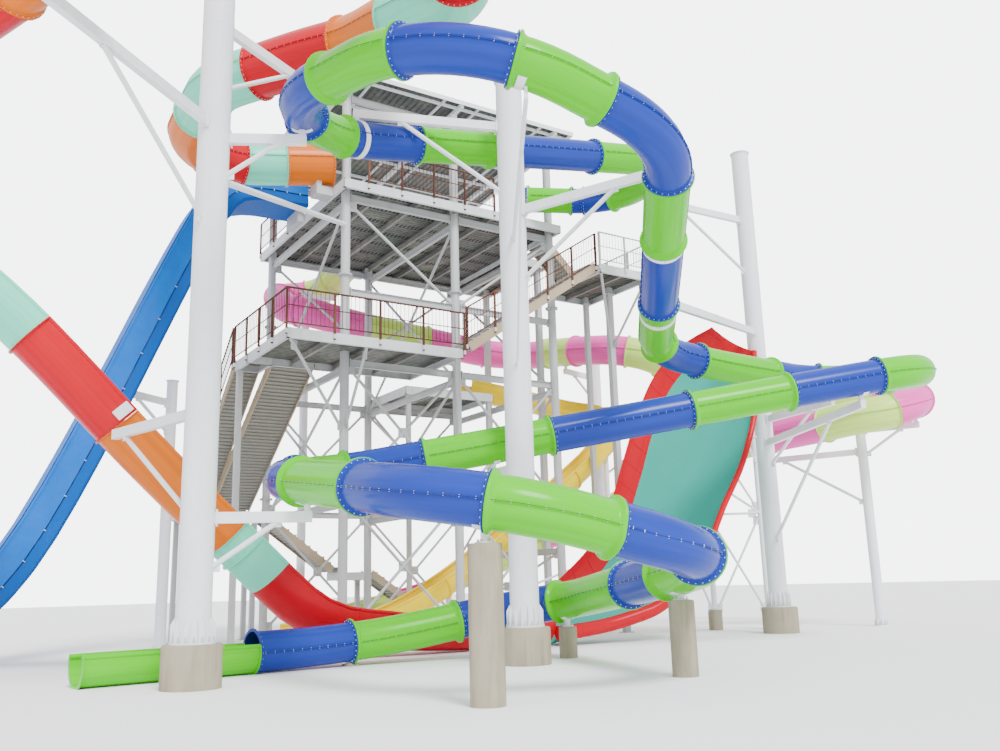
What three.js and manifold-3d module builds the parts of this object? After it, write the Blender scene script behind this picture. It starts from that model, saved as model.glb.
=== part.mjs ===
// A water slide tower: a steel tower with two decks, stairs and a roof, eight round steel masts,
// concrete piers, a closed body slide, a raft slide that ends in a climbing wall, a speed slide,
// a striped tube slide and an open flume. Millimetres, +Z up, +X along the tower's front,
// origin at the foot of the middle mast, on the level of the paving.
import * as THREE from 'three';
import { mergeVertices } from 'three/addons/utils/BufferGeometryUtils.js';
import Module from 'manifold-3d';

const wasm = await Module();
wasm.setup();

// Gap between pieces that are seated on each other.
const SEAT = 0.3;

// Tower grid, decks and roof.
const COLUMN_X = [-800, 2900, 6600];
const FRONT_ROW = 7600;
const BACK_ROW = 14000;
const COLUMN_RADIUS = 135;
const LOWER_DECK_Z = 8300;
const UPPER_DECK_Z = 13350;
const LANDING_Z = 11700;
const DECK_DEPTH = 280;
const DECK_PLATE = 60;
const FRAME_TOP = 16300;
const RAIL_HEIGHT = 1100;
const RAIL_POST = 60;

// Slides: outer radius and wall of each kind.
const COIL_RADIUS = 410;
const RAFT_RADIUS = 625;
const TROUGH_RADIUS = 700;
const STRIPED_RADIUS = 560;
const FLUME_RADIUS = 520;
const SHELL = 22;

// Masts: place, height and radius.
const MAST_RADIUS = 305;
const MASTS = {
  a: { x: -6650, y: 550, top: 15200, radius: MAST_RADIUS },
  b: { x: 0, y: 0, top: 13200, radius: MAST_RADIUS },
  c: { x: 11200, y: 3050, top: 15300, radius: MAST_RADIUS * 0.9 },
  d: { x: 15850, y: 3000, top: 6950, radius: 160, foot: 0 },
  e: { x: -4500, y: 11950, top: 7900, radius: 160, foot: 0 },
  f: { x: -13600, y: 700, top: 10210, radius: 220, foot: 0 },
  g: { x: 1600, y: 17000, top: 13050, radius: 160, foot: 0 },
  h: { x: 12300, y: 12600, top: 10600, radius: 250, foot: 0 },
};
const PEDESTAL_HEIGHT = 750;
const PEDESTAL_RADIUS = 520;

const object = new THREE.Group();

function paint(colour, roughness, metalness = 0) {
  return { color: new THREE.Color(...colour), roughness, metalness };
}

const PAINTS = {
  white: paint([0.82, 0.83, 0.85], 0.35),
  galvanised: paint([0.62, 0.64, 0.66], 0.45, 0.6),
  deck: paint([0.66, 0.66, 0.63], 0.6, 0.3),
  rust: paint([0.30, 0.12, 0.08], 0.8),
  concrete: paint([0.55, 0.52, 0.46], 0.9),
  lime: paint([0.36, 0.76, 0.08], 0.25),
  orange: paint([0.86, 0.30, 0.08], 0.3),
  teal: paint([0.32, 0.72, 0.60], 0.35),
  red: paint([0.72, 0.06, 0.07], 0.3),
  azure: paint([0.02, 0.27, 0.68], 0.55),
  pink: paint([0.88, 0.36, 0.62], 0.35),
  yellow: paint([0.92, 0.68, 0.05], 0.35),
};

// A closed three.js geometry as a solid that can be joined and cut.
function toSolid(geometry) {
  const plain = geometry.index ? geometry.toNonIndexed() : geometry.clone();
  plain.deleteAttribute('normal');
  plain.deleteAttribute('uv');
  const merged = mergeVertices(plain, 1e-3);
  return new wasm.Manifold(new wasm.Mesh({
    numProp: 3,
    vertProperties: new Float32Array(merged.attributes.position.array),
    triVerts: new Uint32Array(merged.index.array),
  }));
}

function joined(solids) {
  return solids.reduce((whole, solid) => whole.add(solid));
}

function addPart(name, solid, kind) {
  const result = solid.getMesh();
  const geometry = new THREE.BufferGeometry();
  geometry.setAttribute('position', new THREE.BufferAttribute(new Float32Array(result.vertProperties), 3));
  geometry.setIndex(new THREE.BufferAttribute(new Uint32Array(result.triVerts), 1));
  geometry.computeVertexNormals();
  const mesh = new THREE.Mesh(geometry, new THREE.MeshStandardMaterial(PAINTS[kind]));
  mesh.name = name;
  object.add(mesh);
}

function point(x, y, z) {
  return new THREE.Vector3(x, y, z);
}

function box(low, high) {
  const geometry = new THREE.BoxGeometry(high[0] - low[0], high[1] - low[1], high[2] - low[2]);
  geometry.translate((low[0] + high[0]) / 2, (low[1] + high[1]) / 2, (low[2] + high[2]) / 2);
  return toSolid(geometry);
}

// An upright drum between two heights.
function drum(x, y, low, high, radius, sides = 12, topRadius = radius) {
  const geometry = new THREE.CylinderGeometry(topRadius, radius, high - low, sides);
  geometry.rotateX(Math.PI / 2);
  geometry.translate(x, y, (low + high) / 2);
  return toSolid(geometry);
}

// A straight bar between two points: a round tube seen as a few-sided one.
function bar(start, end, radius, sides = 6) {
  const along = end.clone().sub(start);
  const geometry = new THREE.CylinderGeometry(radius, radius, along.length(), sides);
  const turn = new THREE.Quaternion().setFromUnitVectors(point(0, 1, 0), along.clone().normalize());
  geometry.applyQuaternion(turn);
  const middle = start.clone().add(end).multiplyScalar(0.5);
  geometry.translate(middle.x, middle.y, middle.z);
  return toSolid(geometry);
}

// A straight beam of upright rectangular section between two points.
function beam(start, end, width, depth) {
  const along = end.clone().sub(start);
  const side = point(-along.y, along.x, 0).normalize();
  if (side.lengthSq() < 0.5) {
    side.set(0, 1, 0);
  }
  const direction = along.clone().normalize();
  const up = direction.clone().cross(side).normalize();
  const geometry = new THREE.BoxGeometry(along.length(), width, depth);
  const turn = new THREE.Matrix4().makeBasis(direction, side, up);
  geometry.applyMatrix4(turn);
  const middle = start.clone().add(end).multiplyScalar(0.5);
  geometry.translate(middle.x, middle.y, middle.z);
  return toSolid(geometry);
}

const SHORTEST_STEP = 200;

// A slide's route. Each mark is [x, y, height, bend radius]; plan bends are round, and the
// height runs smoothly along the developed length from mark to mark.
class Route {
  constructor(marks, longestStep, bendStep) {
    this.points = [];
    const lengths = [];
    const markLengths = [];
    let run = 0;
    const advance = (x, y) => {
      const last = this.points.at(-1);
      run += last ? Math.hypot(x - last.x, y - last.y) : 0;
      this.points.push(point(x, y, 0));
      lengths.push(run);
    };
    const straightTo = (x, y) => {
      const last = this.points.at(-1).clone();
      const span = Math.hypot(x - last.x, y - last.y);
      if (span < SHORTEST_STEP) {
        return;
      }
      const steps = Math.max(1, Math.round(span / longestStep));
      for (let step = 1; step <= steps; step += 1) {
        const share = step / steps;
        advance(last.x + (x - last.x) * share, last.y + (y - last.y) * share);
      }
    };
    advance(marks[0][0], marks[0][1]);
    markLengths.push(0);
    for (let index = 1; index < marks.length - 1; index += 1) {
      const corner = new THREE.Vector2(marks[index][0], marks[index][1]);
      const back = new THREE.Vector2(marks[index - 1][0], marks[index - 1][1]).sub(corner).normalize();
      const ahead = new THREE.Vector2(marks[index + 1][0], marks[index + 1][1]).sub(corner).normalize();
      const turn = Math.PI - Math.acos(THREE.MathUtils.clamp(back.dot(ahead), -1, 1));
      const radius = marks[index][3];
      if (radius === 0) {
        straightTo(corner.x, corner.y);
        markLengths.push(run);
        continue;
      }
      const setback = radius * Math.tan(turn / 2);
      const inward = back.clone().add(ahead).normalize();
      const centre = corner.clone().addScaledVector(inward, radius / Math.cos(turn / 2));
      const enter = corner.clone().addScaledVector(back, setback);
      const sense = Math.sign(back.cross(ahead)) * -1;
      straightTo(enter.x, enter.y);
      const steps = Math.max(2, Math.round(turn / bendStep / 2) * 2);
      const first = Math.atan2(enter.y - centre.y, enter.x - centre.x);
      for (let step = 1; step <= steps; step += 1) {
        const angle = first + (sense * turn * step) / steps;
        advance(centre.x + radius * Math.cos(angle), centre.y + radius * Math.sin(angle));
        if (step === steps / 2) {
          markLengths.push(run);
        }
      }
    }
    straightTo(marks.at(-1)[0], marks.at(-1)[1]);
    markLengths.push(run);
    this.points.forEach((place, index) => {
      place.z = smoothHeight(markLengths, marks.map((mark) => mark[2]), lengths[index]);
    });
    this.tangents = this.points.map((place, index) => {
      const before = this.points[Math.max(0, index - 1)];
      const after = this.points[Math.min(this.points.length - 1, index + 1)];
      return after.clone().sub(before).normalize();
    });
    this.lengths = lengths;
    this.markLengths = markLengths;
  }

  // The length along the route of a place counted in marks: 2.5 is halfway from mark 2 to mark 3.
  lengthAt(place) {
    const index = Math.min(Math.floor(place), this.markLengths.length - 2);
    const share = place - index;
    return this.markLengths[index] * (1 - share) + this.markLengths[index + 1] * share;
  }

  station(place) {
    const wanted = this.lengthAt(place);
    const distances = this.lengths.map((length) => Math.abs(length - wanted));
    return distances.indexOf(Math.min(...distances));
  }

  // The exact spot of such a place, and the station before it.
  spot(place) {
    const wanted = this.lengthAt(place);
    let index = 0;
    while (index < this.lengths.length - 2 && this.lengths[index + 1] < wanted) {
      index += 1;
    }
    const share = (wanted - this.lengths[index]) / (this.lengths[index + 1] - this.lengths[index]);
    return { index, at: this.points[index].clone().lerp(this.points[index + 1], share) };
  }
}

// Smooth height between marks: a cubic whose slope at each mark is that of its neighbours.
function smoothHeight(lengths, heights, length) {
  const slope = (index) => {
    const before = Math.max(0, index - 1);
    const after = Math.min(lengths.length - 1, index + 1);
    return (heights[after] - heights[before]) / (lengths[after] - lengths[before]);
  };
  let index = 0;
  while (index < lengths.length - 2 && length > lengths[index + 1]) {
    index += 1;
  }
  const span = lengths[index + 1] - lengths[index];
  const t = (length - lengths[index]) / span;
  const rise = heights[index + 1] - heights[index];
  const bend = t * t * (3 - 2 * t);
  const startPull = t * (1 - t) * (1 - t) * slope(index) * span;
  const endPull = t * t * (t - 1) * slope(index + 1) * span;
  return heights[index] + rise * bend + startPull + endPull;
}

// A stretch of a route as a three.js curve whose sections stand upright.
class Stretch extends THREE.Curve {
  constructor(route, first, last, trim = SEAT / 2) {
    super();
    this.points = route.points.slice(first, last + 1).map((place) => place.clone());
    this.tangents = route.tangents.slice(first, last + 1);
    this.points[0].addScaledVector(this.tangents[0], trim);
    this.points.at(-1).addScaledVector(this.tangents.at(-1), -trim);
  }

  getPoint(share) {
    const place = share * (this.points.length - 1);
    const index = Math.min(Math.floor(place), this.points.length - 2);
    return this.points[index].clone().lerp(this.points[index + 1], place - index);
  }

  getSpacedPoints() {
    return this.points.map((place) => place.clone());
  }

  computeFrenetFrames() {
    const normals = this.tangents.map((along) => point(-along.y, along.x, 0).normalize());
    const binormals = this.tangents.map((along, index) => along.clone().cross(normals[index]));
    return { tangents: this.tangents, normals, binormals };
  }
}

function sweep(shape, stretch) {
  const geometry = new THREE.ExtrudeGeometry(shape, {
    steps: stretch.points.length - 1,
    extrudePath: stretch,
    curveSegments: 1,
  });
  return toSolid(geometry);
}

// Points of an arc in a section, from one angle to another, in degrees.
function arcPoints(radius, from, to, count, lift = 0) {
  return Array.from({ length: count + 1 }, (unused, index) => {
    const angle = THREE.MathUtils.degToRad(from + ((to - from) * index) / count);
    return new THREE.Vector2(radius * Math.cos(angle), radius * Math.sin(angle) + lift);
  });
}

function ringShape(outer, inner, sides) {
  const start = 90 + 180 / sides;
  const shape = new THREE.Shape(arcPoints(outer, start, start + 360, sides).slice(0, -1));
  if (inner > 0) {
    shape.holes.push(new THREE.Path(arcPoints(inner, start, start + 360, sides).slice(0, -1)));
  }
  return shape;
}

// An open flume: a shell below the given rim angle, open to the sky.
function troughShape(outer, rimAngle, count) {
  const outside = arcPoints(outer, 180 - rimAngle, 360 + rimAngle, count);
  const inside = arcPoints(outer - SHELL * 2, 360 + rimAngle, 180 - rimAngle, count);
  return new THREE.Shape([...outside, ...inside]);
}

// A closed tube along a stretch, with a bolted flange at each end.
const FLANGE_RISE = 45;
const FLANGE_WIDTH = 30;
const FLANGE_INSET = 1;
function tubeRun(route, first, last, radius, sides) {
  const stretch = new Stretch(route, first, last);
  const parts = [sweep(ringShape(radius, radius - SHELL, sides), stretch)];
  const ends = [
    [stretch.points[0], stretch.tangents[0], 1],
    [stretch.points.at(-1), stretch.tangents.at(-1), -1],
  ];
  ends.forEach(([place, along, inward]) => {
    const outer = place.clone().addScaledVector(along, inward * FLANGE_INSET);
    const inner = outer.clone().addScaledVector(along, inward * FLANGE_WIDTH);
    const pair = inward > 0 ? [outer, inner] : [inner, outer];
    const short = new Stretch({ points: pair, tangents: [along, along] }, 0, 1, 0);
    parts.push(sweep(ringShape(radius + FLANGE_RISE, radius - SHELL / 2, sides), short));
  });
  return joined(parts);
}

const TUBE_SIDES = 8;
const BEND_STEP = THREE.MathUtils.degToRad(29);
const LONGEST_STEP = 3600;
const CHUTE_STEP = 1100;
const FLUME_STEP = 1500;

// The closed body slide in lime and blue lengths.
const coil = new Route([
  [4650, 7600, 14050, 0],
  [7800, 5500, 13800, 2150],
  [7000, 1600, 13350, 1700],
  [-5900, 1100, 11050, 2750],
  [-4900, -5450, 10100, 2950],
  [-600, -5850, 9100, 2050],
  [4500, 450, 7300, 2000],
  [11050, 500, 7000, 1700],
  [11300, -4150, 6650, 1650],
  [-4850, 3500, 3950, 1800],
  [-4900, -5500, 2850, 2300],
  [-150, -6250, 2000, 2100],
  [2150, 1900, 1150, 2000],
  [-2650, 2900, 500, 6000],
  [-8250, 2250, 411, 0],
], LONGEST_STEP, BEND_STEP);

// Each closed slide is a row of lengths that meet at flanged joints, at places counted in marks.
function addTube(name, route, joints, radius, sides, kind) {
  joints.slice(0, -1).forEach((place, index) => {
    const solid = tubeRun(route, route.station(place), route.station(joints[index + 1]), radius, sides);
    addPart(`${name}_${index + 1}`, solid, kind);
  });
}

const TROUGH_SIDES = 6;
function addTrough(name, route, from, to, radius, rimAngle, kind) {
  const stretch = new Stretch(route, route.station(from), route.station(to));
  addPart(name, sweep(troughShape(radius, rimAngle, TROUGH_SIDES), stretch), kind);
}

addTube('body_slide', coil, [0, 2.5, 4.5, 6.5, 8.5, 10.5, 13.4], COIL_RADIUS, TUBE_SIDES, 'lime');
addTrough('body_slide_runout', coil, 13.4, 14, COIL_RADIUS, 20, 'lime');

// The raft slide: a closed tube from the upper deck, then an open drop to the climbing wall.
const raft = new Route([
  [-1080, 8000, 14100, 0],
  [-5400, 9100, 13750, 1900],
  [-5600, 4450, 13700, 2000],
  [-3450, 950, 13600, 3000],
  [-2950, -4200, 12550, 1900],
  [-8650, -4950, 11900, 2200],
  [-11700, 650, 10900, 2400],
  [-17200, 800, 10800, 1850],
  [-17200, 4600, 10500, 1850],
  [-14100, 4600, 10250, 0],
  [-13100, 4600, 10000, 0],
  [-9800, 4600, 7800, 0],
  [-6300, 4600, 4400, 0],
  [-4400, 4600, 2650, 0],
  [-2750, 4600, 1250, 0],
  [-1200, 4620, 900, 0],
  [700, 4650, 740, 0],
  [3700, 4700, 701, 0],
], LONGEST_STEP, BEND_STEP);
addTube('raft_slide', raft, [0, 2.5, 4.5, 6.5, 9], RAFT_RADIUS, TUBE_SIDES, 'orange');
const RAFT_RIM_ANGLE = 12;
addTrough('raft_slide_drop', raft, 9, 13, TROUGH_RADIUS, RAFT_RIM_ANGLE, 'teal');

// The channel's near side falls to a low curb, so it is cut along a line of [x, height].
const CURB_LINE = [
  [-4500, 2900], [-2700, 1380], [-1500, 900], [-300, 480], [1000, 390], [3800, 390],
];
const CURB_CUT = { top: 4000, near: 3500, far: 4650 };
const curbShape = new THREE.Shape([...CURB_LINE, [3800, CURB_CUT.top], [-4500, CURB_CUT.top]].map(
  ([x, height]) => new THREE.Vector2(x, height),
));
const curbBlock = new THREE.ExtrudeGeometry(curbShape, {
  depth: CURB_CUT.far - CURB_CUT.near, bevelEnabled: false,
});
curbBlock.rotateX(Math.PI / 2);
curbBlock.translate(0, CURB_CUT.far, 0);
const channelStretch = new Stretch(raft, raft.station(13), raft.station(17));
const channel = sweep(troughShape(TROUGH_RADIUS, RAFT_RIM_ANGLE, TROUGH_SIDES), channelStretch);
addPart('raft_slide_channel', channel.subtract(toSolid(curbBlock)), 'red');

// The speed slide: a covered chute that falls steeply from the upper deck to a long runout.
const chute = new Route([
  [-1080, 10750, 14000, 0],
  [-3300, 10750, 13750, 0],
  [-4100, 10750, 12700, 0],
  [-8100, 10750, 3300, 0],
  [-9900, 10750, 1050, 0],
  [-12500, 10750, 575, 0],
  [-16500, 10750, 512, 0],
], CHUTE_STEP, BEND_STEP);
// The chute's section: a flat-sided duct wrapped in its cover.
const CHUTE_WIDTH = 1650;
const CHUTE_DEPTH = 1000;
const CHUTE_WALL = 45;
function ductShape(width, depth, wall) {
  const corners = (w, d) => [[-w, -d], [w, -d], [w, d], [-w, d]].map(
    ([x, y]) => new THREE.Vector2(x / 2, y / 2),
  );
  const shape = new THREE.Shape(corners(width, depth));
  if (wall > 0) {
    shape.holes.push(new THREE.Path(corners(width - wall * 2, depth - wall * 2)));
  }
  return shape;
}
const wholeChute = new Stretch(chute, 0, chute.points.length - 1);
addPart('speed_slide', sweep(ductShape(CHUTE_WIDTH, CHUTE_DEPTH, CHUTE_WALL), wholeChute), 'azure');

// The striped slide behind the tower.
const striped = new Route([
  [2600, 14520, 13950, 0],
  [2600, 18200, 13350, 950],
  [650, 18200, 12950, 950],
  [650, 15700, 11900, 950],
  [10000, 15500, 10900, 2200],
  [10900, 8700, 9900, 1700],
  [17350, 8300, 7900, 2000],
  [17650, 1300, 7300, 1500],
  [14600, 1300, 6650, 1500],
  [14500, 8500, 6200, 0],
  [14300, 15600, 4300, 2500],
  [8600, 17600, 2000, 2500],
  [2600, 17600, 561, 0],
], LONGEST_STEP, BEND_STEP);
addTube('striped_slide', striped, [0, 3.8, 5.5, 8.5, 11], STRIPED_RADIUS, TUBE_SIDES, 'pink');
addTrough('striped_slide_runout', striped, 11, 12, STRIPED_RADIUS, 15, 'pink');

// The open flume under the tower.
const flume = new Route([
  [6350, 12900, 8920, 0],
  [11700, 12900, 8350, 1600],
  [11700, 9600, 7650, 1600],
  [9500, 9600, 6000, 0],
  [4600, 9600, 2500, 0],
  [1400, 9600, 850, 0],
  [-1600, 9600, 521, 0],
], FLUME_STEP, BEND_STEP);
const FLUME_RIM_ANGLE = 15;
addTrough('yellow_flume', flume, 0, 6, FLUME_RADIUS, FLUME_RIM_ANGLE, 'yellow');

// The climbing wall: a sheet between a near rim and a far edge, with a wide band along the far
// edge and over the top, and a rolled rim that grows slim as it climbs.
const NEAR_RIM = [
  [3700, 4000, 330], [4500, 3950, 380], [5300, 3850, 480], [6100, 3600, 680], [6780, 3370, 930],
  [7870, 2960, 1870], [8770, 2580, 3700], [9340, 2430, 4680], [9760, 2430, 5440], [10290, 2520, 6540],
  [10680, 2700, 8450],
];
const FAR_RIM = [
  [3700, 5400, 900], [4550, 5400, 1500], [6030, 5300, 2730], [6700, 5210, 3850], [7180, 5170, 5000],
  [7770, 4930, 6690], [8390, 4680, 7930], [9220, 4170, 8880], [9800, 3530, 9320],
];
const WALL_START = 0.003;
const WALL_STEPS = 10;
const WALL_ACROSS = 6;
const WALL_THICKNESS = 60;
const WALL_SAG_LOW = 0.4;
const WALL_SAG_HIGH = 0.22;
const WALL_FULLNESS = 0.8;
const BAND_WIDTH = 720;
const CAP_SHARE = 0.93;
const RIM_THICK = 190;
const RIM_SLIM = 85;
const RIM_SIDES = 8;
const nearRim = new THREE.CatmullRomCurve3(NEAR_RIM.map((place) => point(...place)), false, 'centripetal');
const farRim = new THREE.CatmullRomCurve3(FAR_RIM.map((place) => point(...place)), false, 'centripetal');

// A place on the wall: a share of its length, a step from the near rim to the far edge, and an
// offset to its back. A cross-section is an arc that sags between the two edges.
function wallPlace(share, step, offset) {
  const near = nearRim.getPointAt(share);
  const far = farRim.getPointAt(share);
  const across = far.clone().sub(near);
  const along = nearRim.getTangentAt(share).add(farRim.getTangentAt(share)).normalize();
  const outward = along.clone().cross(across).normalize().negate();
  const sag = across.length() * (WALL_SAG_LOW + (WALL_SAG_HIGH - WALL_SAG_LOW) * share);
  const depth = sag * Math.sin(Math.PI * step) ** WALL_FULLNESS + offset;
  return near.clone().addScaledVector(across, step).addScaledVector(outward, depth);
}

// The band's share of a cross-section: its width over the section's own length.
function bandStep(share) {
  const span = farRim.getPointAt(share).distanceTo(nearRim.getPointAt(share));
  return 1 - BAND_WIDTH / (span * 1.35);
}

// A shell that covers some cells of a grid of wall places, with a side along every free edge.
function wallPanel(shares, stepsAt, inside, outside, covers) {
  const positions = [];
  const put = (...places) => places.forEach((place) => positions.push(place.x, place.y, place.z));
  const quad = (a, b, c, d) => put(a, b, c, a, c, d);
  const rowAt = (share, offset) => stepsAt(share).map((step) => wallPlace(share, step, offset));
  const layer = (offset) => shares.map((share) => rowAt(share, offset));
  const [front, back] = [layer(inside), layer(outside)];
  const covered = (row, cell) => (
    row >= 0 && row < shares.length - 1 && cell >= 0 && cell < front[0].length - 1 && covers(row, cell)
  );
  // Every side is split from the front of its earlier corner to the back of its later one.
  const side = ([row, cell], [otherRow, otherCell]) => {
    const [fore, otherFore] = [front[row][cell], front[otherRow][otherCell]];
    const [rear, otherRear] = [back[row][cell], back[otherRow][otherCell]];
    if (row + cell < otherRow + otherCell) {
      quad(fore, otherFore, otherRear, rear);
    } else {
      quad(otherFore, otherRear, rear, fore);
    }
  };
  for (let row = 0; row < shares.length - 1; row += 1) {
    for (let cell = 0; cell < front[0].length - 1; cell += 1) {
      if (!covered(row, cell)) {
        continue;
      }
      const corners = [[row, cell], [row + 1, cell], [row + 1, cell + 1], [row, cell + 1]];
      quad(...corners.map(([r, c]) => front[r][c]));
      quad(...corners.map(([r, c]) => back[r][c]).reverse());
      const neighbours = [[row, cell - 1], [row + 1, cell], [row, cell + 1], [row - 1, cell]];
      neighbours.forEach((neighbour, index) => {
        if (!covered(...neighbour)) {
          side(corners[(index + 1) % 4], corners[index]);
        }
      });
    }
  }
  const geometry = new THREE.BufferGeometry();
  geometry.setAttribute('position', new THREE.Float32BufferAttribute(positions, 3));
  return toSolid(geometry);
}

// Shares of the wall's length, from its start to a share, in even steps.
function evenShares(end, count) {
  const run = end - WALL_START;
  return Array.from({ length: count + 1 }, (unused, index) => WALL_START + (run * index) / count);
}

function evenSteps(end) {
  return Array.from({ length: WALL_ACROSS + 1 }, (unused, index) => (end * index) / WALL_ACROSS);
}
const WALL_RUN = nearRim.getLength();
const sheetShares = evenShares(CAP_SHARE - SEAT / WALL_RUN, WALL_STEPS);
const sheetSteps = (share) => evenSteps(bandStep(share) - SEAT / BAND_WIDTH);
const bandShares = [...evenShares(CAP_SHARE, WALL_STEPS), 1];
const bandSteps = (share) => [...evenSteps(bandStep(share)), (1 + bandStep(share)) / 2, 1];
const wallSheet = wallPanel(sheetShares, sheetSteps, 0, WALL_THICKNESS, () => true);
const wallBand = wallPanel(bandShares, bandSteps, 0, WALL_THICKNESS, (row, cell) => (
  cell >= WALL_ACROSS || row >= WALL_STEPS
));

// A closed solid from rows of points round a tube, with flat ends.
function loft(rows) {
  const positions = [];
  const put = (...places) => places.forEach((place) => positions.push(place.x, place.y, place.z));
  const count = rows[0].length;
  for (let row = 0; row < rows.length - 1; row += 1) {
    for (let index = 0; index < count; index += 1) {
      const next = (index + 1) % count;
      const [a, b, c, d] = [rows[row][index], rows[row][next], rows[row + 1][next], rows[row + 1][index]];
      put(a, b, c, a, c, d);
    }
  }
  const [first, last] = [rows[0], rows.at(-1)];
  for (let index = 1; index < count - 1; index += 1) {
    put(first[0], first[index + 1], first[index]);
    put(last[0], last[index], last[index + 1]);
  }
  const geometry = new THREE.BufferGeometry();
  geometry.setAttribute('position', new THREE.Float32BufferAttribute(positions, 3));
  return toSolid(geometry);
}

// The rolled rim along the near edge: thick near the ground, slim from halfway up.
const RIM_STEPS = 20;
const RIM_THIN_FROM = 0.2;
const RIM_THIN_BY = 0.5;
function rimRadius(share) {
  const turn = THREE.MathUtils.smoothstep(share, RIM_THIN_FROM, RIM_THIN_BY);
  return RIM_THICK + (RIM_SLIM - RIM_THICK) * turn;
}
function rimRun(proud) {
  return loft(Array.from({ length: RIM_STEPS + 1 }, (unused, row) => {
    const share = WALL_START + ((1 - WALL_START) * row) / RIM_STEPS;
    const along = nearRim.getTangentAt(share);
    const side = point(-along.y, along.x, 0).normalize();
    const up = along.clone().cross(side);
    return Array.from({ length: RIM_SIDES }, (unusedToo, index) => {
      const angle = (2 * Math.PI * (index + 0.5)) / RIM_SIDES;
      return nearRim.getPointAt(share)
        .addScaledVector(side, (rimRadius(share) + proud) * Math.cos(angle))
        .addScaledVector(up, (rimRadius(share) + proud) * Math.sin(angle));
    });
  }));
}
addPart('climbing_wall', wallSheet.subtract(rimRun(SEAT)), 'teal');
addPart('climbing_wall_rim', joined([wallBand, rimRun(0)]), 'red');

// The wall's own frame: a beam under the near rim, and three braced posts behind the wall.
const BACK_ROOM = 150;
const shellRoom = wallPanel(bandShares, bandSteps, -BACK_ROOM, WALL_THICKNESS + SEAT, () => true);
const WALL_POSTS = {
  near: { x: 11500, y: 6000, top: 7000 },
  right: { x: 12900, y: 5000, top: 7000 },
  far: { x: 10150, y: 6300, top: 3900 },
};
const POST_FOOT = { radius: 225, top: 640 };
const POST_RADIUS = 90;
const POST_BRACE = 45;
const STRINGER = { radius: 50, clear: 30, from: 0.3, to: 0.97, bars: 9 };

function wallPost({ x, y, top }) {
  return [drum(x, y, 0, POST_FOOT.top, POST_FOOT.radius, 12), drum(x, y, 0, top, POST_RADIUS, 8)];
}

function postTie(first, second, firstHeight, secondHeight) {
  return bar(point(first.x, first.y, firstHeight), point(second.x, second.y, secondHeight), POST_BRACE, 4);
}

// A place on the beam's line, just behind the near rim.
function stringerPlace(share) {
  return wallPlace(share, 0, rimRadius(share) + STRINGER.clear);
}

function shareAtHeight(height) {
  let share = STRINGER.from;
  while (share < STRINGER.to && stringerPlace(share).z < height) {
    share += 0.005;
  }
  return share;
}
const stringerShares = Array.from({ length: STRINGER.bars + 1 }, (unused, index) => (
  STRINGER.from + ((STRINGER.to - STRINGER.from) * index) / STRINGER.bars
));
const stringer = stringerShares.slice(0, -1).map((share, index) => {
  const [start, end] = [stringerPlace(share), stringerPlace(stringerShares[index + 1])];
  const lap = end.clone().sub(start).normalize().multiplyScalar(STRINGER.radius / 2);
  return bar(start.clone().sub(lap), end.clone().add(lap), STRINGER.radius, 6);
});
const stringerFoot = stringerPlace(STRINGER.from);
const stringerPost = drum(stringerFoot.x, stringerFoot.y, 0, stringerFoot.z, POST_BRACE, 8);
const WALL_TIES = [
  ['near', 'right', 450, 3700], ['near', 'right', 3700, 450], ['near', 'right', 3700, 3700],
  ['near', 'right', 3700, 6800], ['near', 'right', 6800, 3700], ['near', 'right', 6800, 6800],
  ['near', 'far', 450, 3700], ['near', 'far', 3700, 450], ['near', 'far', 3700, 3700],
];
function hold(name, height, target) {
  return bar(point(WALL_POSTS[name].x, WALL_POSTS[name].y, height), target, POST_BRACE, 6);
}
const rimHolds = [3700, 5400].map((height) => hold('right', height, stringerPlace(shareAtHeight(height))));
const backHolds = [['near', 5300, 0.62], ['near', 6850, 0.8], ['far', 3800, 0.5]].map(
  ([name, height, share]) => hold(name, height, wallPlace(share, 0.5, WALL_THICKNESS / 2)),
);
const wallFrame = joined([
  ...Object.values(WALL_POSTS).flatMap(wallPost),
  ...WALL_TIES.map(([one, other, low, high]) => postTie(WALL_POSTS[one], WALL_POSTS[other], low, high)),
  ...stringer, stringerPost, ...rimHolds, ...backHolds,
]);
addPart('climbing_wall_frame', wallFrame.subtract(shellRoom).subtract(rimRun(SEAT)), 'white');

// Carriers. A seat is a short post under a slide, cut to the slide's underside.
function fullTrough(outer, rimAngle) {
  return new THREE.Shape(arcPoints(outer, 180 - rimAngle, 360 + rimAngle, TROUGH_SIDES));
}
function closedKind(route, radius) {
  return { route, radius, shape: (proud) => ringShape(radius + proud, 0, TUBE_SIDES) };
}

function openKind(route, radius, rimAngle) {
  return { route, radius, shape: (proud) => fullTrough(radius + proud, rimAngle) };
}

const KINDS = {
  coil: closedKind(coil, COIL_RADIUS),
  raft: closedKind(raft, RAFT_RADIUS),
  striped: closedKind(striped, STRIPED_RADIUS),
  trough: openKind(raft, TROUGH_RADIUS, RAFT_RIM_ANGLE),
  flume: openKind(flume, FLUME_RADIUS, FLUME_RIM_ANGLE),
  chute: {
    route: chute,
    radius: CHUTE_DEPTH / 2,
    shape: (proud) => ductShape(CHUTE_WIDTH + proud * 2, CHUTE_DEPTH + proud * 2, 0),
  },
};

function cutSeat(solid, kind, place) {
  const { route, shape } = KINDS[kind];
  const { index } = route.spot(place);
  const first = Math.max(0, index - 1);
  const last = Math.min(route.points.length - 1, index + 2);
  return solid.subtract(sweep(shape(SEAT), new Stretch(route, first, last, 0)));
}

const ARM_DEPTH = 200;
const ARM_WIDTH = 130;
const BRACE_RADIUS = 55;
const SEAT_POST = 70;
const KNEE_FROM = 1500;
const KNEE_PLACE = 0.72;
const KNEE_DROP = 0.45;

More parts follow.
